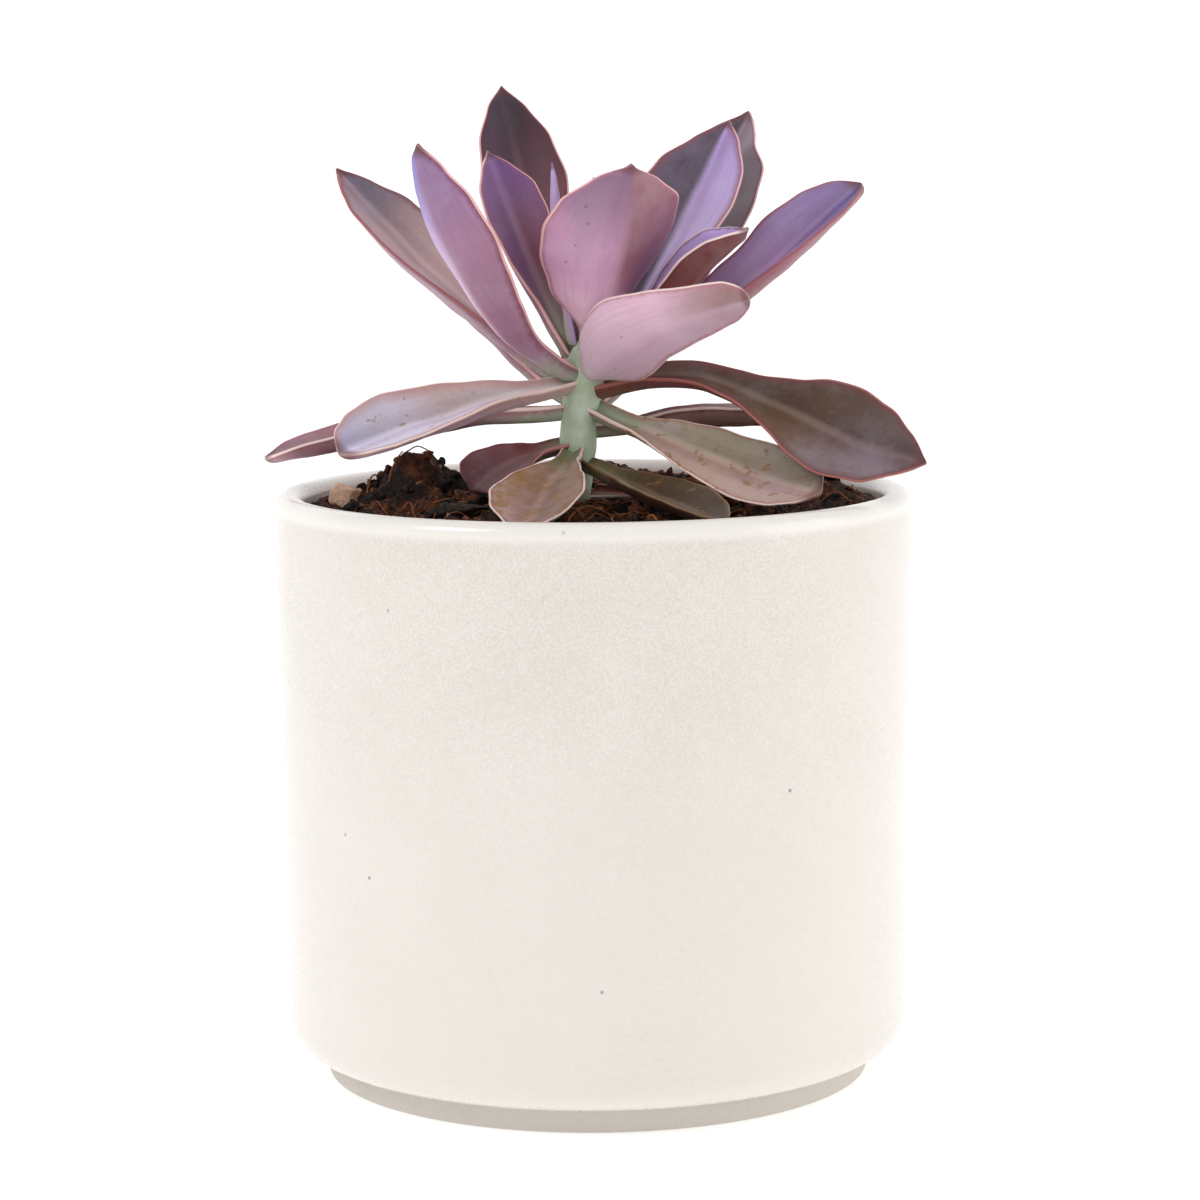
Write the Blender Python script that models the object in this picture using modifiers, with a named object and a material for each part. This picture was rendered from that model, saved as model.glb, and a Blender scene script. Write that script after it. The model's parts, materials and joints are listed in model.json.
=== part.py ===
"""Potted succulent: a glazed cylinder pot full of soil, and a loose rosette of thick pointed leaves on a short stem.

Metres, +Z up. The origin is on the pot's axis, on the surface that the pot stands on.
The pot is turned, the stem is a bevelled curve, and each leaf is a flat blade that is
folded, thickened and bent along its own midrib curve.
"""

import math

import bmesh
import bpy
from mathutils import Vector
from mathutils.bvhtree import BVHTree

# ---------------------------------------------------------------- driving dimensions
MM = 0.001
GAP = 0.3 * MM

POT_RADIUS = 65.0 * MM
POT_LOW_RADIUS = 63.7 * MM
POT_HEIGHT = 120.0 * MM
POT_WALL = 5.7 * MM
LIP_ROUND = 2.6 * MM
SHOULDER_ROUND = 6.5 * MM
FOOT_RADIUS = 56.0 * MM
FOOT_HEIGHT = 5.0 * MM
FOOT_RING_WIDTH = 9.0 * MM
FOOT_RECESS = 2.0 * MM
FLOOR_THICKNESS = 7.0 * MM
FLOOR_ROUND = 5.0 * MM
POT_STEPS = 48

SOIL_DROP = 3.2 * MM
SOIL_RINGS = 7
SOIL_STEPS = 36

STEM_RADIUS = 3.8 * MM
STEM_BURIED = 30.0 * MM
STEM_FOOT_X = -4.3 * MM
STEM_LEAN = 0.098

LEAF_ROWS = 10
LEAF_COLUMNS = 4
LEAF_BASE_WIDTH = 4.0 * MM
MARGIN_THICKNESS = 0.7 * MM

SOIL_TOP = POT_HEIGHT - SOIL_DROP
POT_FLOOR = FOOT_RECESS + FLOOR_THICKNESS

# Half-width along the blade as shares of its greatest half-width, from stem to tip.
OUTLINES = {
    "spoon": ((0, 0.22), (0.15, 0.24), (0.4, 0.52), (0.6, 0.88), (0.76, 1.0), (0.88, 0.85), (0.95, 0.56), (1, 0)),
    "lance": ((0, 0.26), (0.15, 0.30), (0.36, 0.62), (0.5, 0.86), (0.66, 1.0), (0.8, 0.86), (0.92, 0.50), (1, 0)),
    "blunt": ((0, 0.24), (0.15, 0.26), (0.36, 0.58), (0.5, 0.82), (0.72, 1.0), (0.86, 0.93), (0.95, 0.66), (1, 0)),
    "paddle": ((0, 0.3), (0.3, 0.3), (0.46, 0.4), (0.56, 0.62), (0.66, 0.9), (0.75, 1.0), (0.86, 0.84), (0.94, 0.5), (1, 0)),
    "broad": ((0, 0.22), (0.12, 0.32), (0.3, 0.74), (0.48, 0.96), (0.64, 1.0), (0.8, 0.84), (0.92, 0.48), (1, 0)),
    "oval": ((0, 0.4), (0.06, 0.76), (0.14, 0.95), (0.28, 1.0), (0.5, 0.84), (0.72, 0.66), (0.9, 0.52), (1, 0)),
    "spike": ((0, 0.5), (0.2, 0.6), (0.5, 0.95), (0.62, 1.0), (0.8, 0.8), (0.92, 0.45), (1, 0)),
}

# How far the narrow stalk runs into the blade, as a share of its length.
STALK_SHARES = {
    "spoon": 0.3,
    "lance": 0.3,
    "blunt": 0.3,
    "paddle": 0.3,
    "broad": 0.24,
    "oval": 0.08,
    "spike": 0.2,
}

# One row a leaf, in millimetres and degrees: heading about Z (0 is +X), height of its base
# above the soil, how far its base is tucked in from a stalk's width off the stem, length,
# width, thickness, climb at base, middle and tip, roll about the midrib at base, middle and
# tip, fold at base, middle and tip, and its outline. Each row is a real leaf of the plant.
LEAVES = {
    "leaf_left_back": (151, 26.2, 3.4, 69, 22, 2.8, (28, 38, 46), (-5, -10, -14), (40, 24, 18), "lance"),
    "leaf_left_front": (217, 27.6, 3.4, 60, 22, 2.8, (26, 53, 75), (0, 0, 0), (40, 28, 22), "lance"),
    "leaf_left_inner": (152, 32.6, 3.6, 43, 17, 2.4, (55, 67, 66), (-20, -23, -25), (40, 25, 20), "lance"),
    "leaf_back_tall": (118, 29.8, 3.0, 64, 20, 2.6, (45, 62, 66), (-12, -12, -12), (40, 22, 18), "lance"),
    "leaf_heart_spike": (165, 35.2, 4.5, 34, 4, 1.6, (81, 84, 86), (0, 0, 0), (40, 30, 30), "spike"),
    "leaf_heart_bud": (75, 35.2, 6.8, 31, 6.5, 1.8, (79, 82, 80), (25, 25, 25), (40, 30, 30), "spike"),
    "leaf_front_broad": (294.5, 31.6, 3.9, 40.4, 33, 2.6, (74, 67, 68), (0, 0, 0), (45, 22, 14), "broad"),
    "leaf_front_right": (293, 28.2, 1.6, 43, 18, 2.2, (38, 18, 19), (-50, -66, -62), (16, 8, 4), "oval"),
    "leaf_back_right_outer": (48.5, 22.9, 3.4, 73.5, 35.5, 2.8, (40, 50, 60), (8, 8, 8), (40, 22, 15), "lance"),
    "leaf_back_right_inner": (39.5, 30.7, 3.5, 58, 27, 2.6, (44, 54, 60), (15, 15, 15), (40, 22, 15), "lance"),
    "leaf_right_folded": (350, 32.1, 3.2, 37, 19, 2.4, (31, 43, 38), (13, 13, 13), (50, 50, 42), "lance"),
    "leaf_right_long": (13, 27.0, 3.4, 66, 19.5, 2.8, (22, 36, 42), (17, 19, 22), (45, 35, 25), "blunt"),
    "leaf_low_left_broad": (214, 24.9, 3.4, 54, 21, 2.8, (-5, -12, -15), (-20, -18, -16), (35, 28, 15), "blunt"),
    "leaf_low_left_far": (173, 19.2, 3.5, 62, 15, 2.6, (0, -10, -14), (0, -5, -10), (40, 30, 15), "blunt"),
    "leaf_low_right_arched": (338, 23.9, 3.3, 71, 23, 2.8, (28.5, -22, -4), (20, 45, 50), (40, 20, 12), "paddle"),
    "leaf_low_right_front": (328, 19.2, 3.4, 53, 19, 2.6, (-14, -18, -6), (25, 32, 24), (35, 12, 5), "blunt"),
    "leaf_low_right_back": (8, 15.5, 3.5, 47, 16, 2.4, (9, 0, -16), (0, 0, 0), (40, 25, 15), "lance"),
    "leaf_foot_front": (259, 10.6, 3.4, 53, 20, 2.4, (-8, -11, -12), (0, 0, 0), (40, 25, 15), "lance"),
    "leaf_foot_left": (212, 12.0, 3.2, 22, 15, 2.2, (0, -20, -38), (-15, -20, -25), (30, 15, 10), "blunt"),
    "leaf_foot_right": (302, 8.3, 3.4, 51, 17, 2.2, (-6, -9, -4), (0, 0, 0), (40, 25, 15), "lance"),
    "leaf_back_low": (83, 27.7, 2.9, 58, 19, 2.2, (20, 29, 34), (0, 0, 0), (40, 22, 15), "spoon"),
    "leaf_back_left_low": (128, 22.2, 3.4, 56, 17, 2.6, (20, 32, 36), (0, 0, 0), (40, 22, 15), "spoon"),
    "leaf_back_right_low": (61, 19.2, 3.4, 56, 17, 2.6, (20, 34, 40), (0, 0, 0), (40, 22, 15), "spoon"),
}

# How many degrees the midrib has turned sideways at base, middle and tip, on a leaf that does.
TURNS = {
    "leaf_front_right": (0, 28, 48),
    "leaf_front_broad": (6, 9, -6),
    "leaf_back_right_outer": (0, 0, -16),
}

# Lumps of the soil's top, in millimetres: x, y, height, spread.
SOIL_LUMPS = (
    (-38, 8, 9.0, 8.0),
    (-30, 14, 4.0, 8.0),
    (-22, 28, 3.0, 10.0),
    (46, 8, 4.5, 7.0),
    (30, 24, 2.5, 10.0),
    (6, 36, 2.5, 9.0),
    (0, 56, 1.8, 16.0),
    (-6, -56, -4.0, 16.0),
    (34, -44, -4.0, 12.0),
    (0, 6, 1.5, 8.0),
)

# ---------------------------------------------------------------- scene
for old in list(bpy.data.objects):
    bpy.data.objects.remove(old, do_unlink=True)

plant_parts = bpy.data.collections.new("potted_succulent")
helpers = bpy.data.collections.new("cutters_and_guides")
bpy.context.scene.collection.children.link(plant_parts)
bpy.context.scene.collection.children.link(helpers)


def material(name, colour, roughness):
    made = bpy.data.materials.new(name)
    made.use_nodes = True
    shader = made.node_tree.nodes["Principled BSDF"]
    shader.inputs["Base Color"].default_value = (*colour, 1)
    shader.inputs["Roughness"].default_value = roughness
    shader.inputs["Metallic"].default_value = 0
    made.diffuse_color = (*colour, 1)
    return made


def add_part(name, data, look, smooth=True):
    part = bpy.data.objects.new(name, data)
    plant_parts.objects.link(part)
    data.materials.append(look)
    if smooth and isinstance(data, bpy.types.Mesh):
        data.shade_smooth()
        data.set_sharp_from_angle(angle=math.radians(50))
    return part


def add_helper(name, data):
    helper = bpy.data.objects.new(name, data)
    helper.hide_render = True
    helper.display_type = "WIRE"
    helpers.objects.link(helper)
    return helper


def baked_mesh(source, name):
    """A mesh of what the object's modifiers give, with the object removed."""
    bpy.context.view_layer.update()
    seen = source.evaluated_get(bpy.context.evaluated_depsgraph_get())
    mesh = bpy.data.meshes.new_from_object(seen)
    mesh.name = name
    bpy.data.objects.remove(source, do_unlink=True)
    return mesh


def arc(centre_r, centre_z, radius, start, end, steps):
    """Points (radius, height) round a corner, angles in degrees."""
    points = []
    for step in range(steps + 1):
        angle = math.radians(start + (end - start) * step / steps)
        points.append((centre_r + radius * math.cos(angle), centre_z + radius * math.sin(angle)))
    return points


def profile_mesh(name, points, closed):
    mesh = bpy.data.meshes.new(name)
    edges = [(i, i + 1) for i in range(len(points) - 1)]
    if closed:
        edges.append((len(points) - 1, 0))
    mesh.from_pydata([(r, 0, z) for r, z in points], edges, [])
    return mesh


def add_screw(part, steps):
    screw = part.modifiers.new("Screw", "SCREW")
    screw.axis = "Z"
    screw.steps = steps
    screw.render_steps = steps
    screw.use_merge_vertices = True
    screw.merge_threshold = 0.00001
    return screw


glaze = material("pot_glaze", (0.78, 0.74, 0.69), 0.25)
peat = material("soil_peat", (0.035, 0.020, 0.013), 0.95)
stem_green = material("stem_green", (0.42, 0.52, 0.38), 0.55)
leaf_mauve = material("leaf_mauve", (0.24, 0.17, 0.20), 0.5)
leaf_lilac = material("leaf_lilac", (0.42, 0.30, 0.36), 0.5)
leaf_grey = material("leaf_grey_green", (0.28, 0.26, 0.24), 0.5)
dry_red = material("dry_leaf_red", (0.30, 0.06, 0.04), 0.7)
bark_pale = material("bark_pale", (0.55, 0.38, 0.28), 0.9)
bark_dark = material("bark_dark", (0.05, 0.035, 0.03), 0.9)

# ---------------------------------------------------------------- pot
# The profile runs from the lip down the outside, under the foot and back up the inside.
lip_top = POT_HEIGHT - LIP_ROUND
inner_radius = POT_RADIUS - POT_WALL
low_inner_radius = POT_LOW_RADIUS - POT_WALL
shoulder_z = FOOT_HEIGHT + SHOULDER_ROUND
recess_radius = FOOT_RADIUS - FOOT_RING_WIDTH

pot_profile = arc(POT_RADIUS - LIP_ROUND, lip_top, LIP_ROUND, 90, 0, 4)
pot_profile += arc(POT_LOW_RADIUS - SHOULDER_ROUND, shoulder_z, SHOULDER_ROUND, 0, -80, 4)
pot_profile += [(FOOT_RADIUS, FOOT_HEIGHT), (FOOT_RADIUS, 0)]
pot_profile += [(recess_radius, 0), (recess_radius - FOOT_RECESS, FOOT_RECESS), (0, FOOT_RECESS)]
inside_profile = [(0, POT_FLOOR)]
inside_profile += arc(low_inner_radius - FLOOR_ROUND, POT_FLOOR + FLOOR_ROUND, FLOOR_ROUND, -90, 0, 3)
inside_profile += arc(inner_radius + LIP_ROUND, lip_top, LIP_ROUND, 180, 90, 4)

pot = add_part("pot", profile_mesh("pot_profile", pot_profile + inside_profile, True), glaze, smooth=False)
# The two points on the axis are not joined: the profile is open there.
pot_edges = bmesh.new()
pot_edges.from_mesh(pot.data)
for edge in list(pot_edges.edges):
    if all(abs(vert.co.x) < 1e-9 for vert in edge.verts):
        pot_edges.edges.remove(edge)
pot_edges.to_mesh(pot.data)
pot_edges.free()
add_screw(pot, POT_STEPS)


# ---------------------------------------------------------------- soil
def soil_height(x, y):
    """Height of the soil's top above the surface that the pot stands on."""
    top = SOIL_TOP
    for lump_x, lump_y, rise, spread in SOIL_LUMPS:
        away = math.hypot(x - lump_x * MM, y - lump_y * MM)
        top += rise * MM * math.exp(-((away / (spread * MM)) ** 2))
    return top


def inner_wall_radius(z):
    """Radius of the pot's inside at height z, above its rounded floor corner."""
    low_z = POT_FLOOR + FLOOR_ROUND
    share = (z - low_z) / (lip_top - low_z)
    return low_inner_radius + (inner_radius - low_inner_radius) * min(max(share, 0), 1)


soil_floor = POT_FLOOR + GAP
soil_side = [(inner_wall_radius(SOIL_TOP) - 2 * GAP, SOIL_TOP)]
soil_side += [(low_inner_radius - 2 * GAP, POT_FLOOR + FLOOR_ROUND)]
soil_side += [(low_inner_radius - FLOOR_ROUND, soil_floor + 2 * GAP), (0, soil_floor + 2 * GAP)]
soil_top_rings = [
    ((inner_wall_radius(SOIL_TOP) - 2 * GAP) * ring / SOIL_RINGS, SOIL_TOP) for ring in range(SOIL_RINGS)
]
soil_turned = add_part("soil_turned", profile_mesh("soil", soil_top_rings + soil_side, False), peat, smooth=False)
add_screw(soil_turned, SOIL_STEPS)
soil_mesh = baked_mesh(soil_turned, "soil")
for vert in soil_mesh.vertices:
    if vert.co.z > SOIL_TOP - GAP:
        vert.co.z = soil_height(vert.co.x, vert.co.y)
soil = add_part("soil", soil_mesh, peat)
soil_faces = BVHTree.FromPolygons([vert.co for vert in soil_mesh.vertices], [face.vertices for face in soil_mesh.polygons])


def soil_under(x, y, reach):
    """The highest place of the soil's own faces within this distance of a point."""
    heights = [
        vert.co.z
        for vert in soil_mesh.vertices
        if vert.co.z > SOIL_TOP / 2 and math.hypot(vert.co.x - x, vert.co.y - y) < reach
    ]
    for step in range(24):
        angle = 2 * math.pi * step / 24
        above = Vector((x + reach * math.cos(angle), y + reach * math.sin(angle), 2 * POT_HEIGHT))
        hit = soil_faces.ray_cast(above, Vector((0, 0, -1)))[0]
        if hit:
            heights.append(hit.z)
    return max(heights)


# ---------------------------------------------------------------- stem
stem_foot_z = SOIL_TOP - STEM_BURIED


def stem_x(z):
    """The stem stands straight in the soil and leans above it."""
    return STEM_FOOT_X + STEM_LEAN * max(z - SOIL_TOP, 0)


# Height above the soil in millimetres, and radius as a share of the stem's.
STEM_STATIONS = ((-30, 0.9), (-10, 0.95), (0, 0.95), (8, 1.0), (18, 1.0), (26, 0.95), (30, 0.75), (33, 0.4))
stem_curve = bpy.data.curves.new("stem", "CURVE")
stem_curve.dimensions = "3D"
stem_curve.bevel_depth = STEM_RADIUS
stem_curve.bevel_resolution = 2
stem_curve.use_fill_caps = True
stem_spline = stem_curve.splines.new("POLY")
stem_spline.points.add(len(STEM_STATIONS) - 1)
for point, (above_soil, share) in zip(stem_spline.points, STEM_STATIONS):
    height = SOIL_TOP + above_soil * MM
    if above_soil * MM <= -STEM_BURIED:
        height = stem_foot_z
    point.co = (stem_x(height), 0, height, 1)
    point.radius = share
stem = add_part("stem", stem_curve, stem_green)

# The soil closes round the buried stem.
socket = bmesh.new()
bmesh.ops.create_cone(
    socket,
    cap_ends=True,
    segments=12,
    radius1=STEM_RADIUS + 3 * GAP,
    radius2=STEM_RADIUS + 3 * GAP,
    depth=STEM_BURIED * 2,
)
socket_mesh = bpy.data.meshes.new("stem_socket")
socket.to_mesh(socket_mesh)
socket.free()
stem_socket = add_helper("stem_socket", socket_mesh)
stem_socket.location = (STEM_FOOT_X, 0, stem_foot_z - GAP + STEM_BURIED)
socket_cut = soil.modifiers.new("Stem socket", "BOOLEAN")
socket_cut.operation = "DIFFERENCE"
socket_cut.solver = "EXACT"
socket_cut.object = stem_socket


# ---------------------------------------------------------------- leaves
def along(values, share):
    """A smooth value through three values at the base, the middle and the tip."""
    base, middle, tip = values
    base_part = base * (1 - share) * (1 - 2 * share)
    tip_part = tip * share * (2 * share - 1)
    return base_part + 4 * middle * share * (1 - share) + tip_part


def half_width_share(outline, share):
    """Half-width of the blade at this share of its length, eased between the outline's stations."""
    stations = OUTLINES[outline]
    for (low, low_width), (high, high_width) in zip(stations, stations[1:]):
        if share <= high:
            part = (share - low) / (high - low)
            if high_width == 0:
                return low_width * math.sqrt(max(1 - part, 0))
            eased = part * part * (3 - 2 * part) * 0.5 + part * 0.5
            return low_width + (high_width - low_width) * eased
    return 0


def midrib(name, start, heading, turns, length, climb, roll):
    """A guide curve from the leaf's base to past its tip, tilted by the leaf's roll."""
    curve = bpy.data.curves.new(name, "CURVE")
    curve.dimensions = "3D"
    curve.twist_mode = "Z_UP"
    curve.resolution_u = 8
    spline = curve.splines.new("BEZIER")
    knots = 5
    steps = 8
    spline.bezier_points.add(knots)
    here = Vector(start)
    for knot in range(knots + 1):
        point = spline.bezier_points[knot]
        point.co = here
        point.handle_left_type = "AUTO"
        point.handle_right_type = "AUTO"
        point.tilt = math.radians(along(roll, knot / knots))
        for step in range(steps):
            share = (knot + (step + 0.5) / steps) / knots
            angle = math.radians(along(climb, min(share, 1)))
            turn = math.radians(heading + along(turns, min(share, 1)))
            forward = Vector((math.cos(angle) * math.cos(turn), math.cos(angle) * math.sin(turn), math.sin(angle)))
            here = here + forward * (length / knots / steps)
    return add_helper(name, curve)


def blade_mesh(name, length, width, thickness, fold, outline):
    """A flat blade along +X, folded up at both sides of the midrib, with a weight group for its thickness."""
    blade = bmesh.new()
    bmesh.ops.create_grid(blade, x_segments=LEAF_ROWS, y_segments=LEAF_COLUMNS, size=0.5)
    weights = blade.verts.layers.deform.verify()
    for vert in blade.verts:
        share = vert.co.x + 0.5
        # Rows stand closer together towards the rounded tip.
        share = 1 - (1 - share) ** 1.35
        across = vert.co.y * 2
        half = half_width_share(outline, share) * width / 2
        if share < STALK_SHARES[outline]:
            # The blade narrows to the same stalk width on every leaf.
            part = share / STALK_SHARES[outline]
            half = LEAF_BASE_WIDTH / 2 + (half - LEAF_BASE_WIDTH / 2) * part * part * (3 - 2 * part)
        angle = math.radians(along(fold, share))
        vert.co.x = share * length
        vert.co.y = across * half * math.cos(angle * 0.9)
        vert.co.z = (math.sqrt(across * across + 0.04) - 0.2) * half * math.sin(angle)
        swell = (1 - abs(across) ** 2.2) * along((0.7, 1.0, 0.6), share) * min(half / (2 * MM), 1)
        vert[weights][0] = min(MARGIN_THICKNESS / thickness + swell * (1 - MARGIN_THICKNESS / thickness), 1)
    tip = [vert for vert in blade.verts if vert.co.x > length * 0.9999]
    bmesh.ops.remove_doubles(blade, verts=tip, dist=0.00001)
    mesh = bpy.data.meshes.new(name)
    blade.to_mesh(mesh)
    blade.free()
    return mesh


def add_leaf(name, start, heading, turns, length, width, thickness, climb, roll, fold, outline, look):
    mesh = blade_mesh(name, length, width, thickness, fold, outline)
    leaf = add_part(name, mesh, look)
    leaf.vertex_groups.new(name="thickness")
    swell = leaf.modifiers.new("Thickness", "SOLIDIFY")
    swell.thickness = thickness
    swell.offset = -1
    swell.vertex_group = "thickness"
    bend = leaf.modifiers.new("Bend", "CURVE")
    bend.object = midrib(name + "_midrib", start, heading, turns, length, climb, roll)
    bend.deform_axis = "POS_X"
    return leaf


LOOKS = {"leaf_left_front": leaf_lilac, "leaf_front_broad": leaf_lilac, "leaf_front_right": leaf_lilac}
for leaf_name, leaf_values in LEAVES.items():
    heading, above_soil, tuck, length, width, thickness, climb, roll, fold, outline = leaf_values
    base_z = SOIL_TOP + above_soil * MM
    reach = STEM_RADIUS + LEAF_BASE_WIDTH - tuck * MM
    base_x = stem_x(base_z) + reach * math.cos(math.radians(heading))
    base_y = reach * math.sin(math.radians(heading))
    look = LOOKS.get(leaf_name, leaf_grey if "low" in leaf_name or "foot" in leaf_name else leaf_mauve)
    add_leaf(
        leaf_name,
        (base_x, base_y, base_z),
        heading,
        TURNS.get(leaf_name, (0, 0, 0)),
        length * MM,
        width * MM,
        thickness * MM,
        climb,
        roll,
        fold,
        outline,
        look,
    )

# ---------------------------------------------------------------- what lies on the soil
DRY_LEAF_AT = (3.0 * MM, -6.5 * MM)
DRY_LEAF_LENGTH = 19.0 * MM
dry_z = soil_under(DRY_LEAF_AT[0] + DRY_LEAF_LENGTH / 2, DRY_LEAF_AT[1], DRY_LEAF_LENGTH / 2) + 1.6 * MM
add_leaf(
    "dry_leaf",
    (*DRY_LEAF_AT, dry_z),
    338,
    (0, 0, 0),
    DRY_LEAF_LENGTH,
    6.5 * MM,
    1.0 * MM,
    (2, 0, -3),
    (0, 10, 20),
    (10, 18, 8),
    "lance",
    dry_red,
)


def add_chip(name, x, y, size, turn, look):
    """A rounded chip of bark that lies on the soil."""
    chip_shape = bmesh.new()
    bmesh.ops.create_cube(chip_shape, size=1)
    bmesh.ops.bevel(
        chip_shape, geom=list(chip_shape.edges), offset=0.22, segments=1, profile=0.5, affect="EDGES"
    )
    bmesh.ops.scale(chip_shape, vec=size, verts=list(chip_shape.verts))
    mesh = bpy.data.meshes.new(name)
    chip_shape.to_mesh(mesh)
    chip_shape.free()
    chip = add_part(name, mesh, look)
    reach = math.hypot(size[0], size[1]) / 2
    rest_z = soil_under(x, y, reach)
    chip.location = (x, y, rest_z + size[2] / 2 + GAP)
    chip.rotation_euler = (0, 0, math.radians(turn))
    return chip


add_chip("bark_chip_pale", -50.5 * MM, -6 * MM, (4.0 * MM, 3.4 * MM, 4.2 * MM), 35, bark_pale)
add_chip("bark_chip_dark", -27 * MM, -26 * MM, (7.5 * MM, 4.5 * MM, 2.6 * MM), -20, bark_dark)
add_chip("bark_chip_right", 49 * MM, 10 * MM, (5.0 * MM, 4.0 * MM, 3.0 * MM), 15, bark_dark)

bpy.context.view_layer.update()
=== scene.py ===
# %% [markdown]
# # A potted succulent
# The object is a white glazed cylinder pot, full of dark lumpy soil, with one rosette of thick
# mauve leaves on a short green stem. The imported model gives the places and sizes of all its
# pieces. Here each one gets its fine shape and its finish: the pot is cut from a cone, the soil
# is a dense sheet pushed up and down by noise, and every leaf is a flat blade that is narrowed,
# folded, thickened and then bent along its midrib.

# %% Load the frame
import json
import math

import bmesh
import bpy
import numpy as np
from mathutils import Matrix, Vector, noise


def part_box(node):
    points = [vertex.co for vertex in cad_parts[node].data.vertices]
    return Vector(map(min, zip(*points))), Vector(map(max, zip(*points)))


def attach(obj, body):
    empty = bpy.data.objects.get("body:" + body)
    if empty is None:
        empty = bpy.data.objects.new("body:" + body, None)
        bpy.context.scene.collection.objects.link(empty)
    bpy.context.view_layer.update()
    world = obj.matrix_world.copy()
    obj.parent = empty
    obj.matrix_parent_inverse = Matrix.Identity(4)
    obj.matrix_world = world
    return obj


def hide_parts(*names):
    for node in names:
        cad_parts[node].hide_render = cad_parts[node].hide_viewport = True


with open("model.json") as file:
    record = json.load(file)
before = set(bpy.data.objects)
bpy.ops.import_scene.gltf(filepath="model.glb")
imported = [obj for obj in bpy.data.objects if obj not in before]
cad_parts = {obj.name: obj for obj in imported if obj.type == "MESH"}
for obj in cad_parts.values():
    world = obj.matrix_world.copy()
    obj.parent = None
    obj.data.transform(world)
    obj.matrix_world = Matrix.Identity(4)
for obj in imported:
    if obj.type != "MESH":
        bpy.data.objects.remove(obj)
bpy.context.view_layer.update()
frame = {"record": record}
MM = 0.001
pot_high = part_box("pot")[1]
print("pot", pot_high.x * 2000, "mm across and", pot_high.z * 1000, "mm high")

# %% [markdown]
# Every operator acts on whatever is selected, so each step starts with nothing selected. These
# helpers do that, go in and out of edit mode, and select points, edges or faces by a rule about
# their place.


# %% Selection helpers
def deselect_all():
    if bpy.context.mode != "OBJECT":
        bpy.ops.object.mode_set(mode="OBJECT")
    bpy.ops.object.select_all(action="DESELECT")


def take(piece):
    """Makes the piece the only one selected, and the active one."""
    deselect_all()
    bpy.context.view_layer.objects.active = piece
    piece.select_set(True)


def edit(piece, mode="VERT"):
    take(piece)
    bpy.ops.object.mode_set(mode="EDIT")
    bpy.ops.mesh.select_mode(type=mode)
    bpy.ops.mesh.select_all(action="DESELECT")


def done():
    bpy.ops.object.mode_set(mode="OBJECT")


def pick(piece, kind, rule):
    """Selects, in edit mode, the verts, edges or faces for which the rule holds, and no others."""
    shape = bmesh.from_edit_mesh(piece.data)
    elements = getattr(shape, kind)
    for element in elements:
        element.select_set(False)
    for element in elements:
        if rule(element):
            element.select_set(True)
    if kind == "verts":
        shape.select_flush_mode()
    bmesh.update_edit_mesh(piece.data)


def apply_all(piece):
    """Applies the piece's modifiers in order, then its place, so that it sits at the origin."""
    take(piece)
    for modifier in list(piece.modifiers):
        bpy.ops.object.modifier_apply(modifier=modifier.name)
    bpy.ops.object.transform_apply(location=True, rotation=True, scale=True)


def subdivision(piece, levels):
    rounding = piece.modifiers.new("Rounding", "SUBSURF")
    rounding.levels = levels
    rounding.render_levels = levels
    return rounding


def join_all(pieces, name):
    take(pieces[0])
    for piece in pieces:
        piece.select_set(True)
    if len(pieces) > 1:
        bpy.ops.object.join()
    joined = bpy.context.object
    joined.name = name
    joined.data.name = name
    return joined


def place(piece, slot, *nodes):
    """The piece rides on the one body and stands for CAD nodes, which are hidden. The slot is not used."""
    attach(piece, "root")
    if nodes:
        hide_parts(*nodes)


# %% [markdown]
# A material is a tree of small nodes. These helpers add one node and join its inputs in a line,
# and turn a colour named in the usual 0 to 255 steps into the linear values that shaders use.
# `ease` is a soft threshold, and `tinted` darkens or warms a colour only where a mask says so.


# %% Material helpers
def tone(red, green, blue):
    def linear(value):
        value = value / 255
        return value / 12.92 if value <= 0.04045 else ((value + 0.055) / 1.055) ** 2.4

    return (linear(red), linear(green), linear(blue), 1.0)


def add_node(tree, kind, inputs=None, **settings):
    node = tree.nodes.new(kind)
    for key, value in settings.items():
        setattr(node, key, value)
    for key, value in (inputs or {}).items():
        if isinstance(value, bpy.types.NodeSocket):
            tree.links.new(value, node.inputs[key])
        else:
            node.inputs[key].default_value = value
    return node


def maths(tree, operation, first, second):
    return add_node(tree, "ShaderNodeMath", {0: first, 1: second}, operation=operation).outputs[0]


def times(tree, first, second):
    return maths(tree, "MULTIPLY", first, second)


def plus(tree, first, second):
    return maths(tree, "ADD", first, second)


def minus(tree, first, second):
    return maths(tree, "SUBTRACT", first, second)


def ease(tree, value, low, high, out_low=0.0, out_high=1.0):
    """A smooth step from out_low to out_high as the value goes from low to high."""
    inputs = {"Value": value, "From Min": low, "From Max": high, "To Min": out_low, "To Max": out_high}
    return add_node(tree, "ShaderNodeMapRange", inputs, interpolation_type="SMOOTHSTEP").outputs[0]


def mix(tree, factor, first, second, blend="MIX"):
    node = add_node(tree, "ShaderNodeMix", data_type="RGBA", blend_type=blend)
    for index, value in ((0, factor), (6, first), (7, second)):
        if isinstance(value, bpy.types.NodeSocket):
            tree.links.new(value, node.inputs[index])
        else:
            node.inputs[index].default_value = value
    return node.outputs[2]


def tinted(tree, factor, shade, tint):
    """The shade, multiplied by the tint where the factor is 1."""
    return mix(tree, factor, shade, mix(tree, 1.0, shade, tint, "MULTIPLY"))


def noise_node(tree, vector, scale, detail=3.0, roughness=0.5, distortion=0.0):
    inputs = {
        "Vector": vector,
        "Scale": scale,
        "Detail": detail,
        "Roughness": roughness,
        "Distortion": distortion,
    }
    return add_node(tree, "ShaderNodeTexNoise", inputs).outputs[0]


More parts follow.
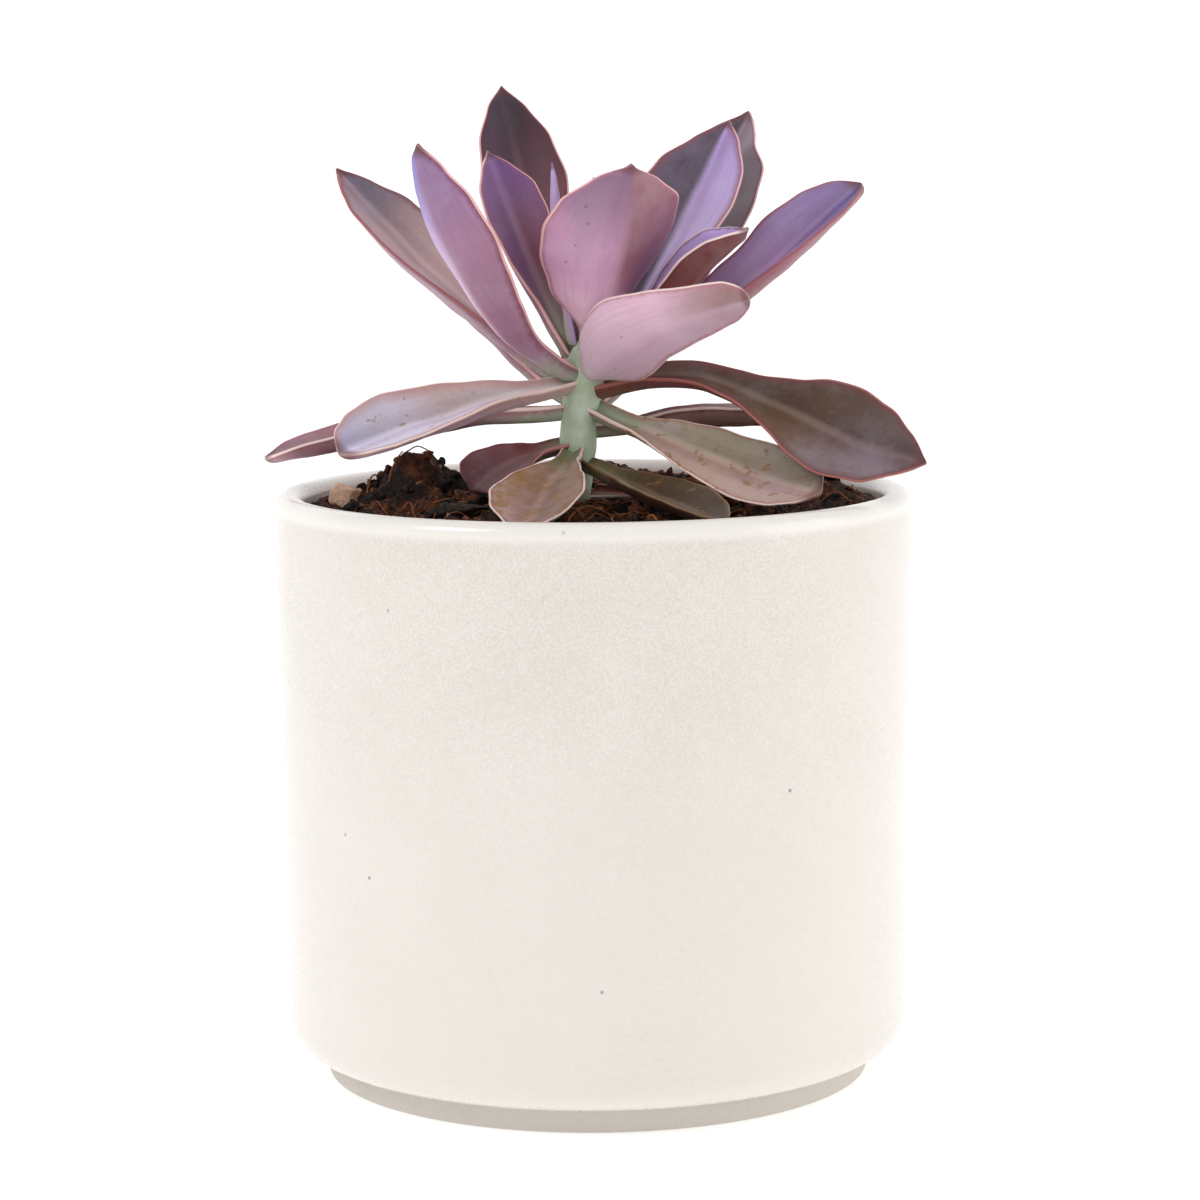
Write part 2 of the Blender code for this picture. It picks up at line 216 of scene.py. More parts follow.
def new_group(name, inputs, outputs):
    group = bpy.data.node_groups.new(name, "ShaderNodeTree")
    for label, kind, value in inputs:
        socket = group.interface.new_socket(label, in_out="INPUT", socket_type=kind)
        if value is not None:
            socket.default_value = value
    for label, kind in outputs:
        group.interface.new_socket(label, in_out="OUTPUT", socket_type=kind)
    return group, group.nodes.new("NodeGroupInput"), group.nodes.new("NodeGroupOutput")


def new_material(name, **values):
    made = bpy.data.materials.new(name)
    made.use_nodes = True
    shader = made.node_tree.nodes["Principled BSDF"]
    for label, value in values.items():
        shader.inputs[label.replace("_", " ")].default_value = value
    return made, made.node_tree, shader


def bump(tree, shader, height, strength, distance):
    inputs = {"Height": height, "Strength": strength, "Distance": distance}
    node = add_node(tree, "ShaderNodeBump", inputs)
    tree.links.new(node.outputs[0], shader.inputs["Normal"])


# %% [markdown]
# The camera comes first, because everything is judged through it: a long lens, a little above
# the rim, looking slightly down at the pot.

# %% Camera
CAMERA_PLACE = Vector((0.0012, -0.746, 0.198))
CAMERA_DOWN = 7.72
CAMERA_ROLL = -0.48
CAMERA_LENS = 109.8
FILM_WIDTH = 36
camera_data = bpy.data.cameras.new("camera")
camera_data.sensor_width = FILM_WIDTH
camera_data.lens = CAMERA_LENS
camera = bpy.data.objects.new("camera", camera_data)
bpy.context.scene.collection.objects.link(camera)
turned = Matrix.Rotation(math.radians(90 - CAMERA_DOWN), 4, "X")
turned = turned @ Matrix.Rotation(math.radians(CAMERA_ROLL), 4, "Z")
camera.matrix_world = Matrix.Translation(CAMERA_PLACE) @ turned
bpy.context.scene.camera = camera
print("lens", CAMERA_LENS, "mm,", CAMERA_DOWN, "degrees down")

# %% [markdown]
# The floor is one very wide pale sheet that sweeps up far behind the pot, as in a product studio,
# so there is no horizon. The sheet glows a little, so that only a soft shadow is left on it. A
# white surround lights the pot evenly. On top of it come a key light at the upper left, a wide
# fill above the camera and another at the right, which keep the shadows between the leaves open.

# %% Floor and light
deselect_all()
SWEEP = 3.0
SWEEP_ROUND = 1.2
FLOOR_SIZE = 40.0
SURROUND = 0.67


def at_back(edge):
    return all(vert.co.y > SWEEP * 0.9 for vert in edge.verts)


bpy.ops.mesh.primitive_plane_add(size=FLOOR_SIZE, location=(0, SWEEP - FLOOR_SIZE / 2, 0))
floor = bpy.context.object
floor.name = "studio_floor"
apply_all(floor)
edit(floor, "EDGE")
pick(floor, "edges", at_back)
bpy.ops.mesh.extrude_region_move(TRANSFORM_OT_translate={"value": (0, 0, SWEEP)})
done()
edit(floor, "EDGE")
pick(floor, "edges", lambda edge: at_back(edge) and all(abs(vert.co.z) < MM for vert in edge.verts))
bpy.ops.mesh.bevel(offset=SWEEP_ROUND, segments=16, affect="EDGES")
done()
floor.data.shade_smooth()
floor_paint, _, _ = new_material(
    "studio_paper",
    Base_Color=(0.93, 0.93, 0.93, 1),
    Roughness=0.9,
    Emission_Color=(1, 1, 1, 1),
    Emission_Strength=0.36,
)
floor.data.materials.append(floor_paint)

world = bpy.data.worlds.new("studio")
bpy.context.scene.world = world
world.use_nodes = True
background = world.node_tree.nodes["Background"]
background.inputs["Color"].default_value = (1.0, 1.0, 1.0, 1)
background.inputs["Strength"].default_value = SURROUND
bpy.context.scene.view_settings.view_transform = "Standard"


def soft_light(name, spot, target, size, watts, colour):
    light = bpy.data.lights.new(name, "AREA")
    light.shape = "SQUARE"
    light.size = size
    light.energy = watts
    light.color = colour
    lamp = bpy.data.objects.new(name, light)
    lamp.location = spot
    lamp.rotation_euler = (Vector(target) - Vector(spot)).to_track_quat("-Z", "Y").to_euler()
    bpy.context.scene.collection.objects.link(lamp)


soft_light("key_left", (-0.9, -0.55, 1.0), (0, 0, 0.14), 0.5, 4.6, (0.98, 0.985, 1.0))
soft_light("high_fill", (0.1, -0.6, 1.5), (0, 0, 0.12), 1.0, 1.0, (1.0, 0.99, 0.98))
soft_light("right_fill", (1.1, -0.2, 0.45), (0, 0, 0.08), 0.8, 3.0, (1.0, 0.99, 0.97))

# %% [markdown]
# The pot is slip-cast stoneware: a straight cylinder that narrows a little downwards, with a
# rounded lip, a rounded lower corner and a bare clay foot. It starts as a cone with nearly equal
# ends. Insets and extrusions make the hollow, the foot and the recess under it, and bevels round
# the lip and the corners.

# %% Pot shape
POT_RADIUS = pot_high.x
POT_HEIGHT = pot_high.z
POT_LOW_RADIUS = POT_RADIUS - 1.3 * MM
POT_WALL = 5.7 * MM
LIP_ROUND = 2.6 * MM
SHOULDER_ROUND = 6.5 * MM
FOOT_RADIUS = 56.0 * MM
FOOT_HEIGHT = 5.0 * MM
FOOT_RING = 9.0 * MM
FOOT_RECESS = 2.0 * MM
INSIDE_FLOOR = 9.0 * MM


def level(face, height):
    return all(abs(vert.co.z - height) < 0.02 * MM for vert in face.verts)


def ring(edge, height, radius, slack=0.4 * MM):
    """True for an edge that lies on a circle about the axis at this height."""
    return all(
        abs(vert.co.z - height) < slack and abs(math.hypot(vert.co.x, vert.co.y) - radius) < slack
        for vert in edge.verts
    )


deselect_all()
bpy.ops.mesh.primitive_cone_add(
    vertices=144,
    radius1=POT_LOW_RADIUS,
    radius2=POT_RADIUS,
    depth=POT_HEIGHT - FOOT_HEIGHT,
    location=(0, 0, (POT_HEIGHT + FOOT_HEIGHT) / 2),
)
pot = bpy.context.object
pot.name = "glazed_pot"
apply_all(pot)
edit(pot, "FACE")
pick(pot, "faces", lambda face: level(face, POT_HEIGHT))
bpy.ops.mesh.inset(thickness=POT_WALL)
bpy.ops.mesh.extrude_region_move(TRANSFORM_OT_translate={"value": (0, 0, INSIDE_FLOOR - POT_HEIGHT)})
pick(pot, "faces", lambda face: level(face, FOOT_HEIGHT))
bpy.ops.mesh.inset(thickness=POT_LOW_RADIUS - FOOT_RADIUS)
bpy.ops.mesh.extrude_region_move(TRANSFORM_OT_translate={"value": (0, 0, -FOOT_HEIGHT)})
bpy.ops.mesh.inset(thickness=FOOT_RING)
bpy.ops.mesh.extrude_region_move(TRANSFORM_OT_translate={"value": (0, 0, FOOT_RECESS)})
done()
edit(pot, "EDGE")
pick(
    pot,
    "edges",
    lambda edge: ring(edge, POT_HEIGHT, POT_RADIUS) or ring(edge, POT_HEIGHT, POT_RADIUS - POT_WALL),
)
bpy.ops.mesh.bevel(offset=LIP_ROUND, segments=6, affect="EDGES")
pick(pot, "edges", lambda edge: ring(edge, FOOT_HEIGHT, POT_LOW_RADIUS))
bpy.ops.mesh.bevel(offset=SHOULDER_ROUND, segments=8, affect="EDGES")
pick(pot, "edges", lambda edge: ring(edge, 0, FOOT_RADIUS) or ring(edge, 0, FOOT_RADIUS - FOOT_RING))
bpy.ops.mesh.bevel(offset=0.5 * MM, segments=2, affect="EDGES")
done()
pot.data.shade_smooth()
pot.data.set_sharp_from_angle(angle=math.radians(35))
print("pot faces", len(pot.data.polygons))

# %% [markdown]
# The glaze is glossy warm white, and the iron in the clay shows through as very fine beige
# speckle with a few dark pinholes. The speckle grows denser towards the top, and this paints the
# darker reflection of the leaves in the glaze there. A paler band at the lip is a painted highlight
# where its rounding catches the light. The bare foot is dry, greyer and pitted.
# Speckle and pinholes are on both, so one group gives them a colour, a roughness and a height.

# %% Pot finishes
group, given, result = new_group(
    "fired_clay",
    (
        ("Light", "NodeSocketColor", None),
        ("Speckle", "NodeSocketColor", None),
        ("Pinhole", "NodeSocketColor", None),
        ("Speckle Amount", "NodeSocketFloat", 0.5),
        ("Pinhole Size", "NodeSocketFloat", 0.1),
        ("Roughness", "NodeSocketFloat", 0.2),
    ),
    (("Colour", "NodeSocketColor"), ("Roughness", "NodeSocketFloat"), ("Height", "NodeSocketFloat")),
)
spot = add_node(group, "ShaderNodeTexCoord").outputs["Object"]
fine = noise_node(group, spot, 2300.0, 2.0)
coarse = noise_node(group, spot, 45.0, 5.0)
grains = ease(group, plus(group, fine, times(group, coarse, 0.25)), 0.5, 0.86)
height = add_node(group, "ShaderNodeSeparateXYZ", {0: spot}).outputs[2]
# More speckle towards the top: a painted reflection of the leaves in the glaze, on top of the real speckle.
top_leaf_reflection = ease(group, height, 30 * MM, 108 * MM, 0.45, 1.0)
speckle_and_reflection = times(group, grains, top_leaf_reflection)
speckle_and_reflection = times(group, speckle_and_reflection, given.outputs["Speckle Amount"])
shade = mix(group, speckle_and_reflection, given.outputs["Light"], given.outputs["Speckle"])
cells = add_node(group, "ShaderNodeTexVoronoi", {"Vector": spot, "Scale": 150.0})
rare = maths(group, "GREATER_THAN", noise_node(group, spot, 37.0, 1.0), 0.63)
hole = ease(group, cells.outputs["Distance"], given.outputs["Pinhole Size"], 0.0)
hole = times(group, hole, rare)
shade = mix(group, hole, shade, given.outputs["Pinhole"])
# A paler band at the lip: a painted highlight on its rounding.
lip_highlight = ease(group, height, POT_HEIGHT - 4.5 * MM, POT_HEIGHT - 2.5 * MM, 0.0, 0.55)
shade = mix(group, lip_highlight, shade, tone(246, 242, 237))
group.links.new(shade, result.inputs["Colour"])
rough = plus(group, given.outputs["Roughness"], times(group, grains, 0.12))
group.links.new(rough, result.inputs["Roughness"])
ripple = plus(group, times(group, coarse, 0.6), times(group, fine, 0.15))
group.links.new(minus(group, ripple, hole), result.inputs["Height"])
fired_clay = group


def clay_material(name, light, speckle, pinhole, amount, hole_size, roughness, bump_strength, **values):
    made, tree, shader = new_material(name, **values)
    inputs = {
        "Light": light,
        "Speckle": speckle,
        "Pinhole": pinhole,
        "Speckle Amount": amount,
        "Pinhole Size": hole_size,
        "Roughness": roughness,
    }
    clay = add_node(tree, "ShaderNodeGroup", node_tree=fired_clay)
    for label, value in inputs.items():
        clay.inputs[label].default_value = value
    tree.links.new(clay.outputs["Colour"], shader.inputs["Base Color"])
    tree.links.new(clay.outputs["Roughness"], shader.inputs["Roughness"])
    bump(tree, shader, clay.outputs["Height"], bump_strength, 0.0004)
    return made


white_glaze = clay_material(
    "white_glaze",
    light=tone(228, 222, 215),
    speckle=tone(206, 197, 187),
    pinhole=tone(96, 90, 84),
    amount=0.75,
    hole_size=0.09,
    roughness=0.2,
    bump_strength=0.1,
    Coat_Weight=0.2,
)
bare_clay = clay_material(
    "bare_clay",
    light=tone(206, 200, 192),
    speckle=tone(180, 173, 163),
    pinhole=tone(96, 90, 82),
    amount=0.5,
    hole_size=0.2,
    roughness=0.8,
    bump_strength=0.5,
)
pot.data.materials.append(white_glaze)
pot.data.materials.append(bare_clay)
for face in pot.data.polygons:
    low_down = face.center.z < FOOT_HEIGHT + 0.1 * MM
    if low_down and math.hypot(face.center.x, face.center.y) < FOOT_RADIUS + 0.3 * MM:
        face.material_index = 1
place(pot, "pot_glaze", "pot")
print("bare clay faces", sum(face.material_index for face in pot.data.polygons))

# %% [markdown]
# Potting soil is peat with bark and fibres, and its top is all crumbs and lumps. A dense sheet
# is cut to the pot's inside, and noise of three sizes lifts and lowers it: broad heaps, clods and
# grains. The heaps stand where the CAD soil has them, a high one at the left and crumbs at the right.

# %% Soil surface
SOIL_DROP = 3.2 * MM
SOIL_LEVEL = POT_HEIGHT - SOIL_DROP
SOIL_RADIUS = POT_RADIUS - POT_WALL - 0.7 * MM
# Where each heap stands, how high it rises and how far it spreads, in millimetres.
SOIL_LUMPS = (
    (-38, 8, 9.0, 8.0),
    (-30, 14, 4.0, 8.0),
    (-22, 28, 3.0, 10.0),
    (46, 8, 4.5, 7.0),
    (30, 24, 2.5, 10.0),
    (6, 36, 2.5, 9.0),
    (0, 56, 1.8, 16.0),
    (-6, -56, -4.0, 16.0),
    (34, -44, -4.0, 12.0),
    (0, 6, 1.5, 8.0),
)


def heap_height(x, y):
    top = SOIL_LEVEL
    for lump_x, lump_y, rise, spread in SOIL_LUMPS:
        away = math.hypot(x - lump_x * MM, y - lump_y * MM)
        top += rise * MM * math.exp(-((away / (spread * MM)) ** 2))
    return top


def soil_height(x, y):
    """The heaps, with clods and grains on them that fade out at the pot's wall."""
    inside = min(max((SOIL_RADIUS - math.hypot(x, y)) / (4 * MM), 0), 1)
    clods = noise.noise(Vector((x, y, 0.3)) / (5.5 * MM)) * 2.2 * MM
    lumps = (noise.cell(Vector((x, y, 0.7)) / (2.6 * MM)) - 0.5) * 0.7 * MM
    grains = noise.noise(Vector((x, y, 1.9)) / (1.5 * MM)) * 1.1 * MM
    return heap_height(x, y) + (clods + lumps + grains) * (0.35 + 0.65 * inside)


SOIL_CELLS = 150
SOIL_DEPTH = 12 * MM
deselect_all()
bpy.ops.mesh.primitive_grid_add(
    x_subdivisions=SOIL_CELLS,
    y_subdivisions=SOIL_CELLS,
    size=SOIL_RADIUS * 2,
    location=(0, 0, SOIL_LEVEL),
)
soil = bpy.context.object
soil.name = "potting_soil"
apply_all(soil)
edit(soil, "VERT")
pick(soil, "verts", lambda vert: math.hypot(vert.co.x, vert.co.y) > SOIL_RADIUS)
bpy.ops.mesh.delete(type="VERT")
done()
edit(soil, "EDGE")
pick(soil, "edges", lambda edge: edge.is_boundary)
shape = bmesh.from_edit_mesh(soil.data)
for vert in shape.verts:
    if vert.select:
        out = SOIL_RADIUS / math.hypot(vert.co.x, vert.co.y)
        vert.co.x *= out
        vert.co.y *= out
for vert in shape.verts:
    vert.co.z = soil_height(vert.co.x, vert.co.y)
bmesh.update_edit_mesh(soil.data)
bpy.ops.mesh.extrude_region_move(TRANSFORM_OT_translate={"value": (0, 0, -SOIL_DEPTH)})
bpy.ops.mesh.edge_face_add()
done()
soil.data.shade_smooth()
print("soil faces", len(soil.data.polygons))

# %% [markdown]
# Loose crumbs and clods lie on the sheet. One crumb is modelled from an icosphere with noise,
# and a few hundred turned and scaled copies are dropped on the soil and joined. The places come
# from a seeded random series, so they are the same each run.

# %% Crumbs and clods
dice = np.random.default_rng(7)


def rough_ball(name, detail, unevenness, offset):
    """A lump of soil one unit across."""
    deselect_all()
    bpy.ops.mesh.primitive_ico_sphere_add(subdivisions=detail, radius=0.5, location=(0, 0, 0))
    ball = bpy.context.object
    ball.name = name
    for vert in ball.data.vertices:
        push = 1 + unevenness * noise.noise(vert.co * 3.1 + Vector((offset, 0, 0)))
        vert.co = vert.co * push
    return ball


def scatter(name, models, count, sizes, reach, flatness, sink):
    """Copies of the models lying on the soil, at most `reach` of the soil's radius from the axis."""
    copies = []
    for number in range(count):
        angle = dice.uniform(0, 2 * math.pi)
        radius = SOIL_RADIUS * reach * math.sqrt(dice.uniform(0, 1))
        x, y = radius * math.cos(angle), radius * math.sin(angle)
        size = dice.uniform(*sizes) * MM
        copy = bpy.data.objects.new(name, models[number % len(models)].data.copy())
        bpy.context.scene.collection.objects.link(copy)
        turn = Matrix.Rotation(dice.uniform(0, 6.28), 4, "Z")
        turn = turn @ Matrix.Rotation(dice.uniform(-0.6, 0.6), 4, "X")
        shape_scale = Matrix.Diagonal((size, size * dice.uniform(0.6, 1.0), size * flatness, 1))
        spot = Matrix.Translation((x, y, soil_height(x, y) + size * sink))
        copy.data.transform(spot @ turn @ shape_scale)
        copies.append(copy)
    joined = join_all(copies, name)
    joined.data.shade_smooth()
    return joined


crumb_models = [rough_ball("crumb_model", 2, 0.9, offset) for offset in (0.0, 4.0, 9.0, 13.0)]
crumbs = scatter(
    "soil_crumbs", crumb_models, count=620, sizes=(0.8, 2.6), reach=0.94, flatness=0.8, sink=0.15
)
clod_models = [rough_ball("clod_model", 3, 1.1, offset) for offset in (2.0, 7.0, 11.0)]
clods = scatter(
    "soil_clods", clod_models, count=46, sizes=(3.0, 5.5), reach=0.88, flatness=0.7, sink=0.05
)
for model in crumb_models + clod_models:
    bpy.data.objects.remove(model)
print("crumb faces", len(crumbs.data.polygons) + len(clods.data.polygons))

# %% [markdown]
# Root fibres are thin curves that wander over the soil and dip into it. They are drawn as
# bevelled curves and turned into one mesh.


# %% Fibres
def fibre(number, x, y, heading, length, thickness, lift):
    curve = bpy.data.curves.new("fibre", "CURVE")
    curve.dimensions = "3D"
    curve.bevel_depth = thickness
    curve.bevel_resolution = 1
    curve.resolution_u = 3
    curve.use_fill_caps = True
    steps = 6
    dip = 0.5 * MM
    spline = curve.splines.new("NURBS")
    spline.points.add(steps)
    spline.use_endpoint_u = True
    spline.order_u = 4
    for step in range(steps + 1):
        share = step / steps
        height = max(soil_height(x, y), heap_height(x, y))
        height += lift * math.sin(math.pi * share) - dip * (1 - share)
        spline.points[step].co = (x, y, height, 1)
        heading += dice.uniform(-0.7, 0.7)
        x += length / steps * math.cos(heading)
        y += length / steps * math.sin(heading)
    return bpy.data.objects.new("fibre_%d" % number, curve)


FIBRE_COUNT = 110
strands = []
for number in range(FIBRE_COUNT):
    angle, radius = dice.uniform(0, 6.28), SOIL_RADIUS * 0.84 * math.sqrt(dice.uniform(0.02, 1))
    strand = fibre(
        number,
        radius * math.cos(angle),
        radius * math.sin(angle),
        dice.uniform(0, 6.28),
        dice.uniform(4, 12) * MM,
        dice.uniform(0.07, 0.2) * MM,
        dice.uniform(0.4, 2.4) * MM,
    )
    bpy.context.scene.collection.objects.link(strand)
    strands.append(strand)
take(strands[0])
for strand in strands:
    strand.select_set(True)
bpy.ops.object.convert(target="MESH")
fibres = join_all(strands, "soil_fibres")
fibres.data.shade_smooth()
print("fibre faces", len(fibres.data.polygons))

# %% [markdown]
# Bark chips are boxes with their edges cut, dented by noise. They stand where the CAD chips do.


# %% Bark chips
def bark_chip(name, node, offset):
    low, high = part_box(node)
    deselect_all()
    bpy.ops.mesh.primitive_cube_add(size=1, location=(0, 0, 0))
    chip = bpy.context.object
    chip.name = name
    edit(chip, "EDGE")
    bpy.ops.mesh.select_all(action="SELECT")
    bpy.ops.mesh.bevel(offset=0.16, segments=2, affect="EDGES")
    bpy.ops.mesh.subdivide(number_cuts=2)
    done()
    for vert in chip.data.vertices:
        vert.co = vert.co * (1 + 0.35 * noise.noise(vert.co * 2.7 + Vector((offset, 0, 0))))
    size = high - low
    middle = (low + high) / 2
    tilt = Matrix.Rotation(0.35, 4, "Y") @ Matrix.Rotation(offset, 4, "Z")
    chip.data.transform(Matrix.Translation(middle) @ Matrix.Diagonal((*size, 1)) @ tilt)
    chip.data.shade_smooth()
    return chip


chip_pale = bark_chip("pale_bark_chip", "bark_chip_pale", 1.3)
chip_dark = bark_chip("dark_bark_chip", "bark_chip_dark", 4.1)
chip_right = bark_chip("small_bark_chip", "bark_chip_right", 7.7)
print("faces on a chip", len(chip_pale.data.polygons))

# %% [markdown]
# Damp peat is nearly black with rust-brown grains and a few light specks. One group mixes two
# browns by noise and gives a crumbly height, and the soil, crumbs, clods, fibres and bark use it
# with their own colours.

# %% Soil finishes
group, given, result = new_group(
    "crumbly",
    (
        ("Dark", "NodeSocketColor", None),
        ("Light", "NodeSocketColor", None),
        ("Fleck", "NodeSocketColor", None),
        ("Light Share", "NodeSocketFloat", 0.5),
        ("Fleck Share", "NodeSocketFloat", 0.1),
    ),
    (("Colour", "NodeSocketColor"), ("Height", "NodeSocketFloat"), ("Roughness", "NodeSocketFloat")),
)
spot = add_node(group, "ShaderNodeTexCoord").outputs["Object"]
patches = noise_node(group, spot, 130.0, 5.0, 0.65)
grit = noise_node(group, spot, 950.0, 4.0, 0.6)
both = plus(group, times(group, patches, 0.6), times(group, grit, 0.4))
threshold = minus(group, 0.78, times(group, given.outputs["Light Share"], 0.5))
lit = ease(group, both, minus(group, threshold, 0.1), plus(group, threshold, 0.08))
shade = mix(group, lit, given.outputs["Dark"], given.outputs["Light"])
fleck_noise = noise_node(group, spot, 620.0, 1.0)
flecks = ease(group, plus(group, fleck_noise, given.outputs["Fleck Share"]), 0.76, 0.84)
shade = mix(group, flecks, shade, given.outputs["Fleck"])
group.links.new(shade, result.inputs["Colour"])
group.links.new(plus(group, patches, grit), result.inputs["Height"])
group.links.new(ease(group, patches, 0.3, 0.7, 0.7, 0.95), result.inputs["Roughness"])
crumbly = group


def crumbly_material(name, dark, light, fleck, light_share, fleck_share):
    made, tree, shader = new_material(name, Specular_IOR_Level=0.3)
    grain = add_node(tree, "ShaderNodeGroup", node_tree=crumbly)
    inputs = {
        "Dark": tone(*dark),
        "Light": tone(*light),
        "Fleck": tone(*fleck),
        "Light Share": light_share,
        "Fleck Share": fleck_share,
    }
    for label, value in inputs.items():
        grain.inputs[label].default_value = value
    tree.links.new(grain.outputs["Colour"], shader.inputs["Base Color"])
    tree.links.new(grain.outputs["Roughness"], shader.inputs["Roughness"])
    bump(tree, shader, grain.outputs["Height"], 0.9, 0.0008)
    return made


# Dark, light and fleck colours, and the shares of light grains and of flecks.
CRUMBLY_FINISHES = {
    "damp_peat": ((30, 19, 15), (106, 62, 40), (160, 114, 84), 0.46, 0.07),
    "crumb_peat": ((36, 24, 19), (124, 72, 46), (186, 142, 108), 0.52, 0.1),
    "clod_peat": ((22, 15, 13), (62, 38, 28), (120, 84, 62), 0.4, 0.03),
    "root_fibre": ((120, 66, 38), (176, 112, 68), (205, 160, 120), 0.6, 0.05),
    "pale_bark": ((168, 126, 100), (214, 176, 150), (110, 70, 50), 0.7, 0.05),
    "dark_bark": ((34, 26, 24), (74, 58, 50), (110, 90, 76), 0.5, 0.04),
}
finishes = {name: crumbly_material(name, *values) for name, values in CRUMBLY_FINISHES.items()}
for piece, finish, slot, nodes in (
    (soil, "damp_peat", "soil_peat", ("soil",)),
    (crumbs, "crumb_peat", "soil_peat", ()),
    (clods, "clod_peat", "soil_peat", ()),
    (fibres, "root_fibre", "soil_peat", ()),
    (chip_pale, "pale_bark", "bark", ("bark_chip_pale",)),
    (chip_dark, "dark_bark", "bark", ("bark_chip_dark",)),
    (chip_right, "dark_bark", "bark", ("bark_chip_right",)),
):
    piece.data.materials.clear()
    piece.data.materials.append(finishes[finish])
    place(piece, slot, *nodes)
print("soil finishes", len(finishes))

# %% [markdown]
# The stem is a plump green stalk that leans a little, with a faint swelling where each leaf
# leaves it, and it ends in a small crown under the heart of the rosette. It is a cylinder cut
# into rings, and each ring is sized and moved to its own place.

# %% Stem shape
STEM_RADIUS = 3.8 * MM
STEM_FOOT_X = -4.3 * MM
STEM_LEAN = 0.098


def stem_x(z):
    return STEM_FOOT_X + STEM_LEAN * max(z - SOIL_LEVEL, 0)


# Height above the soil in millimetres, and radius as a share of the stem's.
STEM_RINGS = (
    (-8, 0.95), (-2, 0.96), (1.5, 0.97), (5, 0.97), (7.5, 1.02), (9.5, 0.98), (11.5, 1.04),
    (13.5, 1.0), (16, 0.98), (18.5, 1.06), (20.5, 1.02), (22.5, 1.1), (25, 1.16), (27.5, 1.14),
    (30, 1.0), (32.5, 0.7), (34, 0.4),
)
# Rings already placed are lifted this far in metres, out of the way of those still to be picked.
ASIDE = 10
deselect_all()
bpy.ops.mesh.primitive_cylinder_add(vertices=24, radius=STEM_RADIUS, depth=1, location=(0, 0, 0.5))
stem = bpy.context.object
stem.name = "green_stem"
apply_all(stem)
edit(stem, "EDGE")
pick(stem, "edges", lambda edge: abs(edge.verts[0].co.z - edge.verts[1].co.z) > 0.5)
bpy.ops.mesh.subdivide(number_cuts=len(STEM_RINGS) - 2)
done()
edit(stem, "VERT")
for number, (above_soil, share) in enumerate(STEM_RINGS):
    at = number / (len(STEM_RINGS) - 1)
    height = SOIL_LEVEL + above_soil * MM
    pick(stem, "verts", lambda vert: abs(vert.co.z - at) < 0.01)
    bpy.ops.transform.resize(value=(share, share, 1), center_override=(0, 0, at))
    bpy.ops.transform.translate(value=(stem_x(height), 0, height - at + ASIDE))
pick(stem, "verts", lambda vert: True)
bpy.ops.transform.translate(value=(0, 0, -ASIDE))
done()
subdivision(stem, 2)
apply_all(stem)
for vert in stem.data.vertices:
    wobble = noise.noise(vert.co / (4.5 * MM)) * 0.25 * MM
    vert.co += Vector((vert.normal.x, vert.normal.y, 0)) * wobble
stem.data.shade_smooth()
print("stem faces", len(stem.data.polygons))

# %% [markdown]
# The stem is mint green, a little more olive near the crown and browned just above the soil,
# with a pale waxy bloom over it.

# %% Stem finish
stem_skin, tree, shader = new_material("stem_skin", Roughness=0.5, Specular_IOR_Level=0.35)
spot = add_node(tree, "ShaderNodeTexCoord").outputs["Object"]
height = add_node(tree, "ShaderNodeSeparateXYZ", {0: spot}).outputs[2]
climb = ease(tree, height, SOIL_LEVEL + 12 * MM, SOIL_LEVEL + 28 * MM)
green = mix(tree, climb, tone(188, 206, 178), tone(180, 196, 166))
bloom = ease(tree, noise_node(tree, spot, 260.0, 4.0), 0.4, 0.65)
green = mix(tree, times(tree, bloom, 0.6), green, tone(216, 228, 214))
low = ease(tree, height, SOIL_LEVEL + 6 * MM, SOIL_LEVEL, 0.0, 0.7)
green = mix(tree, low, green, tone(134, 112, 90))
tree.links.new(green, shader.inputs["Base Color"])
bump(tree, shader, noise_node(tree, spot, 700.0, 3.0), 0.3, 0.0004)
stem.data.materials.append(stem_skin)
place(stem, "stem_green", "stem")

# %% [markdown]
# A leaf is a thick blade: narrow at the stalk, widest past the middle, with a pointed tip, folded
# up at both sides of the midrib and swollen underneath. It is modelled flat, as a grid one unit
# long and two wide. First the columns are lifted into a V, then each row is narrowed and flattened
# to its own width and fold, and the last row is merged into the tip. Solidify gives the swollen
# underside from a weight group. A Curve modifier then bends the blade along its midrib, and the
# tilt of that curve rolls it.

# %% Leaf sizes
# Share of the length, and half the width there as a share of its largest.
OUTLINES = {
    "spoon": (
        (0, 0.22), (0.15, 0.24), (0.4, 0.52), (0.6, 0.88), (0.76, 1.0), (0.88, 0.85), (0.95, 0.56), (1, 0)
    ),
    "lance": (
        (0, 0.26), (0.15, 0.30), (0.36, 0.62), (0.5, 0.86), (0.66, 1.0), (0.8, 0.86), (0.92, 0.46), (1, 0)
    ),
    "blunt": (
        (0, 0.24), (0.15, 0.26), (0.36, 0.58), (0.5, 0.82), (0.72, 1.0), (0.86, 0.93), (0.95, 0.66), (1, 0)
    ),
    "paddle": (
        (0, 0.3), (0.3, 0.3), (0.46, 0.4), (0.56, 0.62), (0.66, 0.9), (0.75, 1.0), (0.86, 0.84),
        (0.94, 0.46), (1, 0),
    ),
    "broad": (
        (0, 0.22), (0.12, 0.32), (0.3, 0.74), (0.48, 0.96), (0.64, 1.0), (0.8, 0.84), (0.92, 0.46), (1, 0)
    ),
    "oval": (
        (0, 0.4), (0.06, 0.76), (0.14, 0.95), (0.28, 1.0), (0.5, 0.84), (0.72, 0.66), (0.9, 0.52), (1, 0)
    ),
    "spike": ((0, 0.5), (0.2, 0.6), (0.5, 0.95), (0.62, 1.0), (0.8, 0.8), (0.92, 0.45), (1, 0)),
}
